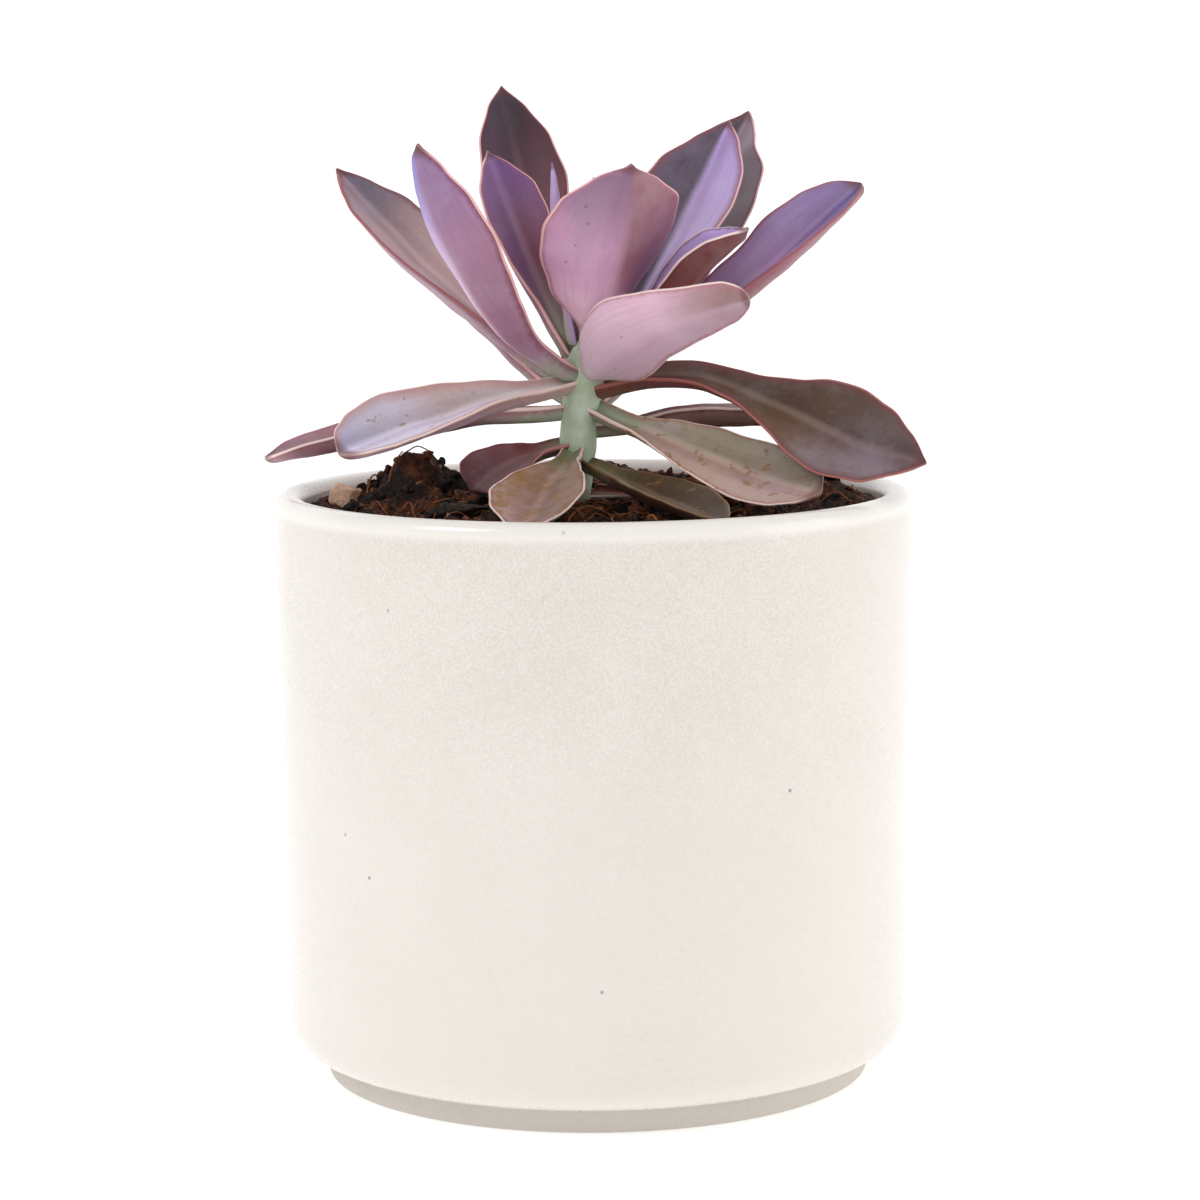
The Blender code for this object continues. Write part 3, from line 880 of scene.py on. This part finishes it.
# How much of the length is stalk, and how the last stretch closes: 1 is straight, less is rounder.
STALK_SHARES = {
    "spoon": 0.3,
    "lance": 0.3,
    "blunt": 0.3,
    "paddle": 0.3,
    "broad": 0.24,
    "oval": 0.08,
    "spike": 0.2,
}
TIP_SHARPNESS = {
    "spoon": 0.7,
    "lance": 0.85,
    "blunt": 0.6,
    "paddle": 0.8,
    "broad": 0.9,
    "oval": 0.45,
    "spike": 0.8,
}
STALK_WIDTH = 5.0 * MM
STALK_RING = 4.0 * MM
# How far the end of the blade is drawn in to a point, and how far the stalk runs on into the stem.
TIP_POINT = 0.9 * MM
HEEL = 3.0 * MM
MARGIN_THICKNESS = 0.42 * MM
BLADE_ROWS = 34
BLADE_COLUMNS = 12
NO_TURN = (0, 0, 0)

# One row a leaf, in millimetres and degrees: heading, height of its base above the soil, how far
# its base is tucked in from a ring round the stem, length, width, thickness, climb, roll and fold
# at base, middle and tip, and its outline.
LEAVES = {
    "leaf_left_back": (151, 26.2, 3.4, 69, 22, 2.8, (28, 38, 46), (-5, -10, -14), (40, 24, 18), "lance"),
    "leaf_left_front": (217, 27.6, 3.4, 60, 22, 2.8, (26, 53, 75), (0, 0, 0), (40, 28, 22), "lance"),
    "leaf_left_inner": (152, 32.6, 3.6, 43, 17, 2.4, (55, 67, 66), (-20, -23, -25), (40, 25, 20), "lance"),
    "leaf_back_tall": (118, 29.8, 3.0, 64, 20, 2.6, (45, 62, 66), (-12, -12, -12), (40, 22, 18), "lance"),
    "leaf_heart_spike": (165, 35.2, 4.5, 34, 4, 1.6, (81, 84, 86), (0, 0, 0), (40, 30, 30), "spike"),
    "leaf_heart_bud": (75, 35.2, 6.8, 31, 6.5, 1.8, (79, 82, 80), (25, 25, 25), (40, 30, 30), "spike"),
    "leaf_front_broad": (294.5, 31.6, 3.9, 40.4, 33, 2.6, (74, 67, 68), (0, 0, 0), (45, 22, 14), "broad"),
    "leaf_front_right": (293, 28.2, 1.6, 43, 18, 2.2, (38, 18, 19), (-50, -66, -62), (16, 8, 4), "oval"),
    "leaf_back_right_outer": (
        48.5, 22.9, 3.4, 73.5, 35.5, 2.8, (40, 50, 60), (8, 8, 8), (40, 22, 15), "lance",
    ),
    "leaf_back_right_inner": (
        39.5, 30.7, 3.5, 58, 27, 2.6, (44, 54, 60), (15, 15, 15), (40, 22, 15), "lance",
    ),
    "leaf_right_folded": (350, 32.1, 3.2, 37, 19, 2.4, (31, 43, 38), (13, 13, 13), (50, 50, 42), "lance"),
    "leaf_right_long": (13, 27.0, 3.4, 66, 19.5, 2.8, (22, 36, 42), (17, 19, 22), (45, 35, 25), "blunt"),
    "leaf_low_left_broad": (
        214, 24.9, 3.4, 54, 21, 2.8, (-5, -12, -15), (-20, -18, -16), (35, 28, 15), "blunt",
    ),
    "leaf_low_left_far": (173, 19.2, 3.5, 62, 15, 2.6, (0, -10, -14), (0, -5, -10), (40, 30, 15), "blunt"),
    "leaf_low_right_arched": (
        338, 23.9, 3.3, 71, 23, 2.8, (28.5, -22, -4), (20, 45, 50), (40, 20, 12), "paddle",
    ),
    "leaf_low_right_front": (328, 19.2, 3.4, 53, 19, 2.6, (-14, -18, -6), (25, 32, 24), (35, 12, 5), "blunt"),
    "leaf_low_right_back": (8, 15.5, 3.5, 47, 16, 2.4, (9, 0, -16), (0, 0, 0), (40, 25, 15), "lance"),
    "leaf_foot_front": (259, 10.6, 3.4, 53, 20, 2.4, (-8, -11, -12), (0, 0, 0), (40, 25, 15), "lance"),
    "leaf_foot_left": (212, 12.0, 3.2, 22, 15, 2.2, (0, -20, -38), (-15, -20, -25), (30, 15, 10), "blunt"),
    "leaf_foot_right": (302, 8.3, 3.4, 51, 17, 2.2, (-6, -9, -4), (0, 0, 0), (40, 25, 15), "lance"),
    "leaf_back_low": (83, 27.7, 2.9, 58, 19, 2.2, (20, 29, 34), (0, 0, 0), (40, 22, 15), "spoon"),
    "leaf_back_left_low": (128, 22.2, 3.4, 56, 17, 2.6, (20, 32, 36), (0, 0, 0), (40, 22, 15), "spoon"),
    "leaf_back_right_low": (61, 19.2, 3.4, 56, 17, 2.6, (20, 34, 40), (0, 0, 0), (40, 22, 15), "spoon"),
}

# How many degrees the midrib has turned sideways at base, middle and tip, on a leaf that does.
TURNS = {
    "leaf_front_right": (0, 28, 48),
    "leaf_front_broad": (6, 9, -6),
    "leaf_back_right_outer": (0, 0, -16),
}


def along(values, share):
    """A smooth value through three values at the base, the middle and the tip."""
    base, middle, tip = values
    from_base = base * (1 - share) * (1 - 2 * share)
    from_middle = 4 * middle * share * (1 - share)
    return from_base + from_middle + tip * share * (2 * share - 1)


def half_width_share(outline, share):
    stations = OUTLINES[outline]
    for (low, low_width), (high, high_width) in zip(stations, stations[1:]):
        if share <= high:
            part = (share - low) / (high - low)
            if high_width == 0:
                return low_width * max(1 - part, 0) ** TIP_SHARPNESS[outline]
            eased = part * part * (3 - 2 * part) * 0.5 + part * 0.5
            return low_width + (high_width - low_width) * eased
    return 0


def half_width(outline, width, share):
    """Half the blade's width, which narrows to the same stalk on every leaf."""
    half = half_width_share(outline, share) * width / 2
    stalk = STALK_SHARES[outline]
    if share < stalk:
        part = share / stalk
        half = STALK_WIDTH / 2 + (half - STALK_WIDTH / 2) * part * part * (3 - 2 * part)
    return half


# %% [markdown]
# These functions make one leaf in the order told above. `flat_blade` models and folds the blade
# and stores on its points how far along and across they lie. `midrib` draws the curve that it
# is bent along, which can climb, roll and turn sideways. `shape_leaf` thickens, bends and smooths
# the blade, and gives its surface the slight unevenness of a grown thing. Blender's vector noise
# starts from the clock unless it is given a seed, so it gets one and is the same each run.


# %% Leaf shaping
UNEVENNESS_SEED = 7
noise.seed_set(UNEVENNESS_SEED)


def row_share(row):
    """Share of the length at a row: rows stand closer together towards the tip."""
    return 1 - (1 - row / BLADE_ROWS) ** 1.35


def rows_and_columns(blade):
    places = []
    for vert in blade.data.vertices:
        places.append((round(vert.co.x * BLADE_ROWS), round((vert.co.y + 1) / 2 * BLADE_COLUMNS)))
    return places


def store(blade, name, values):
    attribute = blade.data.attributes.new(name, "FLOAT", "POINT")
    attribute.data.foreach_set("value", values)


def flat_blade(name, length, width, thickness, fold, outline):
    """The folded blade along +X, with its thickness weights and the values that its finish reads."""
    deselect_all()
    bpy.ops.mesh.primitive_grid_add(
        x_subdivisions=BLADE_ROWS, y_subdivisions=BLADE_COLUMNS, size=1, location=(0.5, 0, 0)
    )
    blade = bpy.context.object
    blade.name = name
    blade.scale = (1, 2, 1)
    apply_all(blade)
    places = rows_and_columns(blade)
    edit(blade, "VERT")
    for column in range(BLADE_COLUMNS + 1):
        across = column / BLADE_COLUMNS * 2 - 1
        pick(blade, "verts", lambda vert: places[vert.index][1] == column)
        bpy.ops.transform.translate(value=(0, 0, math.sqrt(across * across + 0.04) - 0.2))
    for row in range(BLADE_ROWS + 1):
        share = row_share(row)
        half = max(half_width(outline, width, share), 0.00001)
        angle = math.radians(along(fold, share))
        at = row / BLADE_ROWS
        pick(blade, "verts", lambda vert: places[vert.index][0] == row)
        bpy.ops.transform.resize(
            value=(1, half * math.cos(angle * 0.9), half * math.sin(angle)), center_override=(at, 0, 0)
        )
        ends = HEEL * (1 - share) ** 14 - (TIP_POINT if row == BLADE_ROWS and outline != "oval" else 0)
        bpy.ops.transform.translate(value=(share * length - ends - at, 0, 0))
    done()
    rows = np.array(places)
    share = np.array([row_share(row) for row in rows[:, 0]])
    side = rows[:, 1] / BLADE_COLUMNS * 2 - 1
    half = np.array([half_width(outline, width, value) for value in share])
    store(blade, "leaf_along", share)
    store(blade, "leaf_side", side)
    store(blade, "leaf_edge", (1 - np.abs(side)) * half / MM)
    store(blade, "leaf_rib", np.abs(side) * half / MM)
    weights = blade.vertex_groups.new(name="thickness")
    thin = MARGIN_THICKNESS / thickness
    swell = (1 - np.abs(side) ** 2.2) * np.array([along((0.85, 1.0, 0.6), value) for value in share])
    swell = swell * np.minimum(half / (2 * MM), 1)
    for index, value in enumerate(thin + swell * (1 - thin)):
        weights.add([index], min(float(value), 1.0), "REPLACE")
    edit(blade, "VERT")
    pick(blade, "verts", lambda vert: places[vert.index][0] == BLADE_ROWS)
    bpy.ops.mesh.merge(type="CENTER")
    done()
    return blade


def midrib(name, start, heading, turns, length, climb, roll):
    """The curve that the blade is bent along, tilted by the leaf's roll."""
    curve = bpy.data.curves.new(name, "CURVE")
    curve.dimensions = "3D"
    curve.twist_mode = "Z_UP"
    curve.resolution_u = 24
    spline = curve.splines.new("BEZIER")
    knots, steps = 5, 8
    spline.bezier_points.add(knots)
    here = Vector(start)
    for knot in range(knots + 1):
        point = spline.bezier_points[knot]
        point.co = here
        point.handle_left_type = "AUTO"
        point.handle_right_type = "AUTO"
        point.tilt = math.radians(along(roll, knot / knots))
        for step in range(steps):
            share = min((knot + (step + 0.5) / steps) / knots, 1)
            angle = math.radians(along(climb, share))
            turn = math.radians(heading + along(turns, share))
            flat = math.cos(angle)
            forward = Vector((flat * math.cos(turn), flat * math.sin(turn), math.sin(angle)))
            here = here + forward * (length / knots / steps)
    guide = bpy.data.objects.new(name, curve)
    bpy.context.scene.collection.objects.link(guide)
    return guide


def shape_leaf(name, start, heading, turns, length, width, thickness, climb, roll, fold, outline, waviness):
    blade = flat_blade(name, length, width, thickness, fold, outline)
    upper_count = len(blade.data.vertices)
    swell = blade.modifiers.new("Thickness", "SOLIDIFY")
    swell.thickness = thickness
    swell.offset = -1
    swell.vertex_group = "thickness"
    take(blade)
    bpy.ops.object.modifier_apply(modifier=swell.name)
    under = np.zeros(len(blade.data.vertices))
    under[upper_count:] = 1
    store(blade, "leaf_under", under)
    bend = blade.modifiers.new("Bend", "CURVE")
    bend.object = midrib(name + "_midrib", start, heading, turns, length, climb, roll)
    bend.deform_axis = "POS_X"
    guide = bend.object
    subdivision(blade, 1)
    apply_all(blade)
    bpy.data.objects.remove(guide)
    strength = waviness * MM
    for vert in blade.data.vertices:
        slow = noise.noise_vector(vert.co / (11 * MM))
        fast = noise.noise_vector(vert.co / (4.5 * MM) + Vector((7, 3, 1)))
        vert.co += slow * strength + fast * strength * 0.22
    blade.data.shade_smooth()
    return blade


# %% [markdown]
# Every leaf starts at the stem, at its own height and heading, a little inside the skin. The
# small pointed ones at the heart are kept smoother than the rest.

# %% Model the leaves
WAVINESS = 0.55
HEART_WAVINESS = 0.15
leaves = {}
for leaf_name, values in LEAVES.items():
    heading, above_soil, tuck, length, width, thickness, climb, roll, fold, outline = values
    base_z = SOIL_LEVEL + above_soil * MM
    reach = STEM_RADIUS + STALK_RING - tuck * MM
    turn = math.radians(heading)
    start = (stem_x(base_z) + reach * math.cos(turn), reach * math.sin(turn), base_z)
    leaves[leaf_name] = shape_leaf(
        "fine_" + leaf_name,
        start,
        heading,
        TURNS.get(leaf_name, NO_TURN),
        length * MM,
        width * MM,
        thickness * MM,
        climb,
        roll,
        fold,
        outline,
        HEART_WAVINESS if outline == "spike" else WAVINESS,
    )
print("leaf faces", sum(len(leaf.data.polygons) for leaf in leaves.values()))

# %% [markdown]
# The leaf skin is the same on every leaf, with different colours: green at the stalk, mauve or
# grey in the middle, darker or bluer at the tip, a pale midrib between two grooves with painted
# shade in them, a thin pale margin with a red flush inside it, a cloudy wax bloom that is rubbed
# off in places, fine streaks along the blade, small red freckles, a dark point, and ochre spots on
# old leaves. The
# half at the left, seen from the stalk, can take a colour of its own, because a folded blade
# shows one side to the light. So it is one group. It reads where a point lies on the blade from
# the values stored on the mesh.

# %% Leaf finish group
group, given, result = new_group(
    "leaf_skin",
    (
        ("Stalk", "NodeSocketColor", None),
        ("Upper Middle", "NodeSocketColor", None),
        ("Upper Tip", "NodeSocketColor", None),
        ("Under Middle", "NodeSocketColor", None),
        ("Under Tip", "NodeSocketColor", None),
        ("Left Side", "NodeSocketColor", None),
        ("Left Amount", "NodeSocketFloat", 0.0),
        ("Margin", "NodeSocketColor", None),
        ("Blush", "NodeSocketColor", None),
        ("Blush Width", "NodeSocketFloat", 1.3),
        ("Bloom", "NodeSocketFloat", 0.4),
        ("Rib", "NodeSocketFloat", 0.4),
        ("Spots", "NodeSocketFloat", 0.0),
        ("Stalk Length", "NodeSocketFloat", 0.35),
        ("Seed", "NodeSocketFloat", 0.0),
    ),
    (("Colour", "NodeSocketColor"), ("Roughness", "NodeSocketFloat"), ("Height", "NodeSocketFloat")),
)


def stored(name):
    return add_node(group, "ShaderNodeAttribute", attribute_name=name).outputs["Fac"]


length_share, side, edge_mm, rib_mm, under = (
    stored(name) for name in ("leaf_along", "leaf_side", "leaf_edge", "leaf_rib", "leaf_under")
)
spot = add_node(group, "ShaderNodeTexCoord").outputs["Object"]
seeded = add_node(group, "ShaderNodeCombineXYZ", {0: given.outputs["Seed"], 1: under}).outputs[0]
spot = add_node(group, "ShaderNodeVectorMath", {0: spot, 1: seeded}, operation="ADD").outputs[0]
stretched = {0: times(group, length_share, 2.2), 1: times(group, side, 9.0), 2: given.outputs["Seed"]}
grain_lines = add_node(group, "ShaderNodeCombineXYZ", stretched).outputs[0]

cloud = noise_node(group, spot, 90.0, 4.0, 0.6)
fine = noise_node(group, spot, 700.0, 3.0, 0.6)
streaks = noise_node(group, grain_lines, 1.6, 5.0, 0.6)
wander = times(group, minus(group, cloud, 0.5), 0.35)
place_along = plus(group, length_share, wander)
to_middle = ease(group, place_along, 0.0, given.outputs["Stalk Length"])
to_tip = ease(group, place_along, 0.45, 1.0)
upper = mix(group, to_middle, given.outputs["Stalk"], given.outputs["Upper Middle"])
upper = mix(group, to_tip, upper, given.outputs["Upper Tip"])
lower = mix(group, to_middle, given.outputs["Stalk"], given.outputs["Under Middle"])
lower = mix(group, to_tip, lower, given.outputs["Under Tip"])
shade = mix(group, ease(group, under, 0.35, 0.65), upper, lower)
left = ease(group, plus(group, side, times(group, wander, 0.5)), -0.12, 0.14)
left = times(group, times(group, left, to_middle), given.outputs["Left Amount"])
shade = mix(group, left, shade, given.outputs["Left Side"])
patchy = ease(group, noise_node(group, spot, 42.0, 3.0, 0.55), 0.6, 0.36)
shade = tinted(group, times(group, patchy, 0.35), shade, (0.76, 0.62, 0.68, 1))
streak_mask = times(group, ease(group, streaks, 0.42, 0.7), 0.2)
shade = tinted(group, streak_mask, shade, (1.25, 1.2, 1.25, 1))
dark_streaks = times(group, ease(group, streaks, 0.5, 0.25), 0.3)
shade = tinted(group, dark_streaks, shade, (0.72, 0.66, 0.7, 1))
rib_mask = ease(group, rib_mm, 1.5, 0.1)
rib_mask = times(group, rib_mask, ease(group, length_share, 1.0, 0.55))
rib_mask = times(group, rib_mask, given.outputs["Rib"])
shade = mix(group, rib_mask, shade, tone(200, 184, 178))
# Painted shade in the grooves on both sides of the midrib, stronger on the upper side.
groove_shade = times(group, ease(group, rib_mm, 0.5, 1.6), ease(group, rib_mm, 5.5, 2.2))
groove_shade = times(group, groove_shade, ease(group, under, 0.6, 0.3, 0.12, 0.5))
shade = tinted(group, groove_shade, shade, (0.6, 0.52, 0.56, 1))
bloom_mask = ease(group, plus(group, cloud, times(group, fine, 0.25)), 0.46, 0.92)
bloom_mask = times(group, bloom_mask, given.outputs["Bloom"])
shade = mix(group, bloom_mask, shade, tone(214, 206, 222))
blush_edge = plus(group, edge_mm, times(group, minus(group, fine, 0.5), 1.2))
flush = ease(group, blush_edge, given.outputs["Blush Width"], 0.2, 0.0, 0.75)
shade = mix(group, flush, shade, given.outputs["Blush"])
shade = mix(group, ease(group, edge_mm, 0.34, 0.12), shade, given.outputs["Margin"])
tip_mask = ease(group, length_share, 0.955, 0.992)
shade = mix(group, times(group, tip_mask, 0.7), shade, tone(92, 50, 54))
spot_noise = noise_node(group, spot, 380.0, 4.0, 0.7, 0.3)
spot_noise = plus(group, spot_noise, times(group, given.outputs["Spots"], 0.16))
spot_mask = ease(group, spot_noise, 0.66, 0.74)
spot_mask = times(group, spot_mask, ease(group, given.outputs["Spots"], 0.0, 0.4))
shade = mix(group, times(group, spot_mask, 0.7), shade, tone(138, 104, 62))
freckles = add_node(group, "ShaderNodeTexVoronoi", {"Vector": spot, "Scale": 310.0}).outputs["Distance"]
freckle_mask = times(group, ease(group, freckles, 0.14, 0.05), ease(group, cloud, 0.5, 0.62))
shade = mix(group, times(group, freckle_mask, 0.45), shade, tone(98, 52, 56))
rich = add_node(group, "ShaderNodeHueSaturation", {"Saturation": 1.08, "Value": 1.08, "Color": shade})
group.links.new(rich.outputs["Color"], result.inputs["Colour"])
rough = plus(group, 0.3, times(group, bloom_mask, 0.4))
rough = plus(group, rough, times(group, fine, 0.16))
group.links.new(rough, result.inputs["Roughness"])
relief = plus(group, times(group, streaks, 0.4), times(group, fine, 0.35))
relief = minus(group, relief, times(group, spot_mask, 0.6))
group.links.new(relief, result.inputs["Height"])
leaf_skin = group
print("leaf skin nodes", len(leaf_skin.nodes))

# %% [markdown]
# Each leaf then gets its own colours. Young leaves at the heart are purple and lilac with a pink
# margin, the outer ones grey-mauve, and the old low ones greenish or brown with ochre spots.

# %% Leaf colours
PINK_MARGIN = tone(228, 182, 182)
PALE_MARGIN = tone(236, 212, 206)
RED_MARGIN = tone(160, 96, 100)
ROSE_BLUSH = tone(152, 92, 108)
WINE_BLUSH = tone(100, 52, 62)
# Upper middle, upper tip, under middle, under tip, left side and how much of it there is; then
# margin, flush inside it, bloom, rib, spots, share of the length that is stalk, and the stalk.
LEAF_COLOURS = {
    "leaf_left_back": (
        (214, 184, 178), (88, 80, 98), (172, 136, 150), (144, 116, 138), (194, 162, 172), 0.5,
        RED_MARGIN, tone(120, 70, 82), 0.2, 0.18, 0.0, 0.22, (176, 202, 174),
    ),
    "leaf_left_front": (
        (104, 72, 90), (92, 74, 108), (218, 184, 212), (128, 118, 188), (134, 86, 104), 0.7,
        PINK_MARGIN, tone(124, 64, 76), 0.15, 0.1, 0.0, 0.24, (166, 188, 160),
    ),
    "leaf_left_inner": (
        (144, 100, 112), (118, 84, 140), (160, 120, 146), (140, 114, 150), (134, 98, 148), 0.55,
        PINK_MARGIN, ROSE_BLUSH, 0.08, 0.08, 0.0, 0.45, (168, 170, 150),
    ),
    "leaf_back_tall": (
        (120, 76, 82), (44, 26, 40), (130, 88, 98), (104, 70, 80), (66, 46, 68), 0.6,
        PINK_MARGIN, WINE_BLUSH, 0.04, 0.06, 0.0, 0.3, (130, 116, 104),
    ),
    "leaf_heart_spike": (
        (196, 174, 216), (198, 176, 218), (196, 172, 212), (202, 180, 220), (194, 172, 214), 0.0,
        tone(196, 174, 216), tone(184, 156, 200), 0.2, 0.0, 0.0, 0.3, (176, 180, 150),
    ),
    "leaf_heart_bud": (
        (92, 60, 76), (88, 52, 68), (112, 70, 86), (100, 60, 76), (100, 68, 84), 0.0,
        tone(170, 110, 120), WINE_BLUSH, 0.05, 0.05, 0.0, 0.3, (150, 150, 120),
    ),
    "leaf_front_broad": (
        (122, 92, 112), (104, 80, 104), (206, 160, 190), (126, 90, 116), (146, 102, 110), 0.95,
        PINK_MARGIN, tone(168, 112, 128), 0.15, 0.05, 0.0, 0.5, (242, 210, 220),
    ),
    "leaf_front_right": (
        (150, 120, 140), (140, 110, 122), (222, 188, 204), (146, 108, 104), (224, 194, 214), 0.4,
        PALE_MARGIN, tone(176, 120, 132), 0.2, 0.0, 0.12, 0.2, (232, 214, 222),
    ),
    "leaf_back_right_outer": (
        (170, 154, 166), (136, 118, 130), (112, 62, 66), (98, 56, 60), (60, 42, 50), 0.9,
        PINK_MARGIN, WINE_BLUSH, 0.12, 0.1, 0.0, 0.3, (150, 140, 130),
    ),
    "leaf_back_right_inner": (
        (200, 182, 222), (176, 154, 206), (112, 62, 66), (108, 60, 64), (58, 36, 54), 0.92,
        PINK_MARGIN, tone(126, 70, 78), 0.1, 0.04, 0.0, 0.3, (160, 150, 154),
    ),
    "leaf_right_folded": (
        (208, 184, 232), (194, 170, 226), (118, 60, 56), (108, 54, 52), (210, 186, 234), 0.0,
        PALE_MARGIN, WINE_BLUSH, 0.1, 0.0, 0.0, 0.3, (140, 110, 112),
    ),
    "leaf_right_long": (
        (180, 144, 178), (102, 90, 144), (146, 84, 96), (136, 78, 94), (156, 132, 176), 0.6,
        RED_MARGIN, ROSE_BLUSH, 0.15, 0.06, 0.0, 0.3, (126, 96, 110),
    ),
    "leaf_low_left_broad": (
        (186, 172, 166), (174, 174, 198), (170, 120, 108), (166, 116, 104), (234, 226, 246), 0.65,
        PALE_MARGIN, tone(178, 132, 126), 0.3, 0.05, 0.3, 0.5, (230, 232, 228),
    ),
    "leaf_low_left_far": (
        (168, 118, 126), (138, 88, 96), (156, 106, 100), (142, 92, 90), (190, 152, 172), 0.4,
        PALE_MARGIN, ROSE_BLUSH, 0.2, 0.05, 0.1, 0.4, (170, 186, 160),
    ),
    "leaf_low_right_arched": (
        (92, 66, 42), (112, 94, 98), (104, 58, 48), (100, 60, 54), (66, 48, 36), 0.55,
        tone(164, 104, 98), tone(104, 58, 60), 0.12, 0.1, 0.2, 0.3, (112, 90, 54),
    ),
    "leaf_low_right_front": (
        (180, 156, 142), (176, 148, 136), (196, 156, 144), (184, 138, 122), (144, 148, 122), 0.6,
        PALE_MARGIN, tone(160, 112, 96), 0.2, 0.1, 0.6, 0.3, (128, 156, 122),
    ),
    "leaf_low_right_back": (
        (136, 88, 86), (124, 78, 76), (170, 136, 128), (160, 122, 116), (124, 84, 82), 0.3,
        PALE_MARGIN, WINE_BLUSH, 0.15, 0.05, 0.2, 0.3, (150, 156, 128),
    ),
    "leaf_foot_front": (
        (146, 114, 86), (152, 118, 102), (136, 110, 94), (136, 106, 94), (112, 82, 48), 0.6,
        PALE_MARGIN, tone(130, 90, 70), 0.3, 0.1, 0.9, 0.35, (108, 126, 90),
    ),
    "leaf_foot_left": (
        (120, 62, 62), (96, 50, 52), (120, 66, 64), (104, 58, 58), (146, 122, 120), 0.45,
        tone(186, 134, 126), WINE_BLUSH, 0.12, 0.05, 0.3, 0.3, (130, 116, 94),
    ),
    "leaf_foot_right": (
        (84, 66, 38), (76, 60, 46), (98, 76, 60), (98, 72, 62), (58, 52, 32), 0.5,
        tone(128, 102, 74), tone(92, 66, 46), 0.06, 0.1, 0.4, 0.4, (92, 96, 54),
    ),
    "leaf_back_low": (
        (150, 124, 138), (100, 82, 98), (158, 114, 126), (134, 94, 106), (140, 116, 130), 0.3,
        PINK_MARGIN, ROSE_BLUSH, 0.25, 0.12, 0.0, 0.35, (170, 180, 154),
    ),
    "leaf_back_left_low": (
        (160, 130, 146), (108, 88, 106), (166, 120, 134), (140, 102, 118), (148, 122, 138), 0.3,
        PINK_MARGIN, ROSE_BLUSH, 0.3, 0.12, 0.05, 0.35, (170, 180, 154),
    ),
    "leaf_back_right_low": (
        (144, 116, 128), (96, 74, 86), (152, 104, 112), (128, 84, 94), (134, 108, 120), 0.3,
        PINK_MARGIN, WINE_BLUSH, 0.25, 0.12, 0.05, 0.35, (160, 166, 140),
    ),
}
# How wide the flush inside the margin is, in millimetres, on the leaves where it is wide.
BLUSH_WIDTH = 1.3
BLUSH_WIDTHS = {
    "leaf_low_left_broad": 3.6,
    "leaf_back_right_inner": 3.0,
    "leaf_left_front": 1.7,
    "leaf_left_back": 1.8,
    "leaf_low_right_arched": 2.4,
    "leaf_front_broad": 1.8,
}


def leaf_material(leaf_name, colours, seed):
    upper_middle, upper_tip, under_middle, under_tip, left_side, left_amount = colours[:6]
    margin, blush, bloom_amount, rib, spots, stalk_length, stalk = colours[6:]
    made, tree, shader = new_material(leaf_name + "_skin", Specular_IOR_Level=0.4)
    skin = add_node(tree, "ShaderNodeGroup", node_tree=leaf_skin)
    values = {
        "Stalk": tone(*stalk),
        "Upper Middle": tone(*upper_middle),
        "Upper Tip": tone(*upper_tip),
        "Under Middle": tone(*under_middle),
        "Under Tip": tone(*under_tip),
        "Left Side": tone(*left_side),
        "Left Amount": left_amount,
        "Margin": margin,
        "Blush": blush,
        "Blush Width": BLUSH_WIDTHS.get(leaf_name, BLUSH_WIDTH),
        "Bloom": bloom_amount,
        "Rib": rib,
        "Spots": spots,
        "Stalk Length": stalk_length,
        "Seed": seed,
    }
    for label, value in values.items():
        skin.inputs[label].default_value = value
    tree.links.new(skin.outputs["Colour"], shader.inputs["Base Color"])
    tree.links.new(skin.outputs["Roughness"], shader.inputs["Roughness"])
    bump(tree, shader, skin.outputs["Height"], 0.35, 0.0005)
    return made


def node_slot(node):
    for row in frame["record"]["subparts"]:
        if row["node"] == node:
            return row["material_slot"]
    return "leaf_mauve"


SEED_STEP = 0.37
for number, (leaf_name, leaf) in enumerate(leaves.items()):
    skin = leaf_material(leaf_name, LEAF_COLOURS[leaf_name], number * SEED_STEP)
    leaf.data.materials.append(skin)
    place(leaf, node_slot(leaf_name), leaf_name)
print("leaf materials", len(leaves))

# %% [markdown]
# One shed leaf has dried to a red husk on the soil beside the stem. It is the same kind of blade,
# thin and curled.

# %% Dry leaf
dry_low, dry_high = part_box("dry_leaf")
dry_leaf = shape_leaf(
    "shed_dry_leaf",
    start=(dry_low.x, dry_high.y - 3.2 * MM, dry_high.z - 0.3 * MM),
    heading=338,
    turns=NO_TURN,
    length=19 * MM,
    width=8 * MM,
    thickness=1.0 * MM,
    climb=(2, 0, -3),
    roll=(22, 32, 38),
    fold=(10, 18, 8),
    outline="lance",
    waviness=0.5,
)
DRY_COLOURS = (
    (186, 72, 50), (222, 206, 190), (150, 66, 50), (206, 184, 160), (150, 66, 50), 0.4,
    tone(236, 224, 212), tone(130, 50, 42), 0.1, 0.1, 0.2, 0.2, (134, 62, 46),
)
dry_leaf.data.materials.append(leaf_material("dry_leaf", DRY_COLOURS, 11.3))
place(dry_leaf, node_slot("dry_leaf"), "dry_leaf")
print("dry leaf faces", len(dry_leaf.data.polygons))
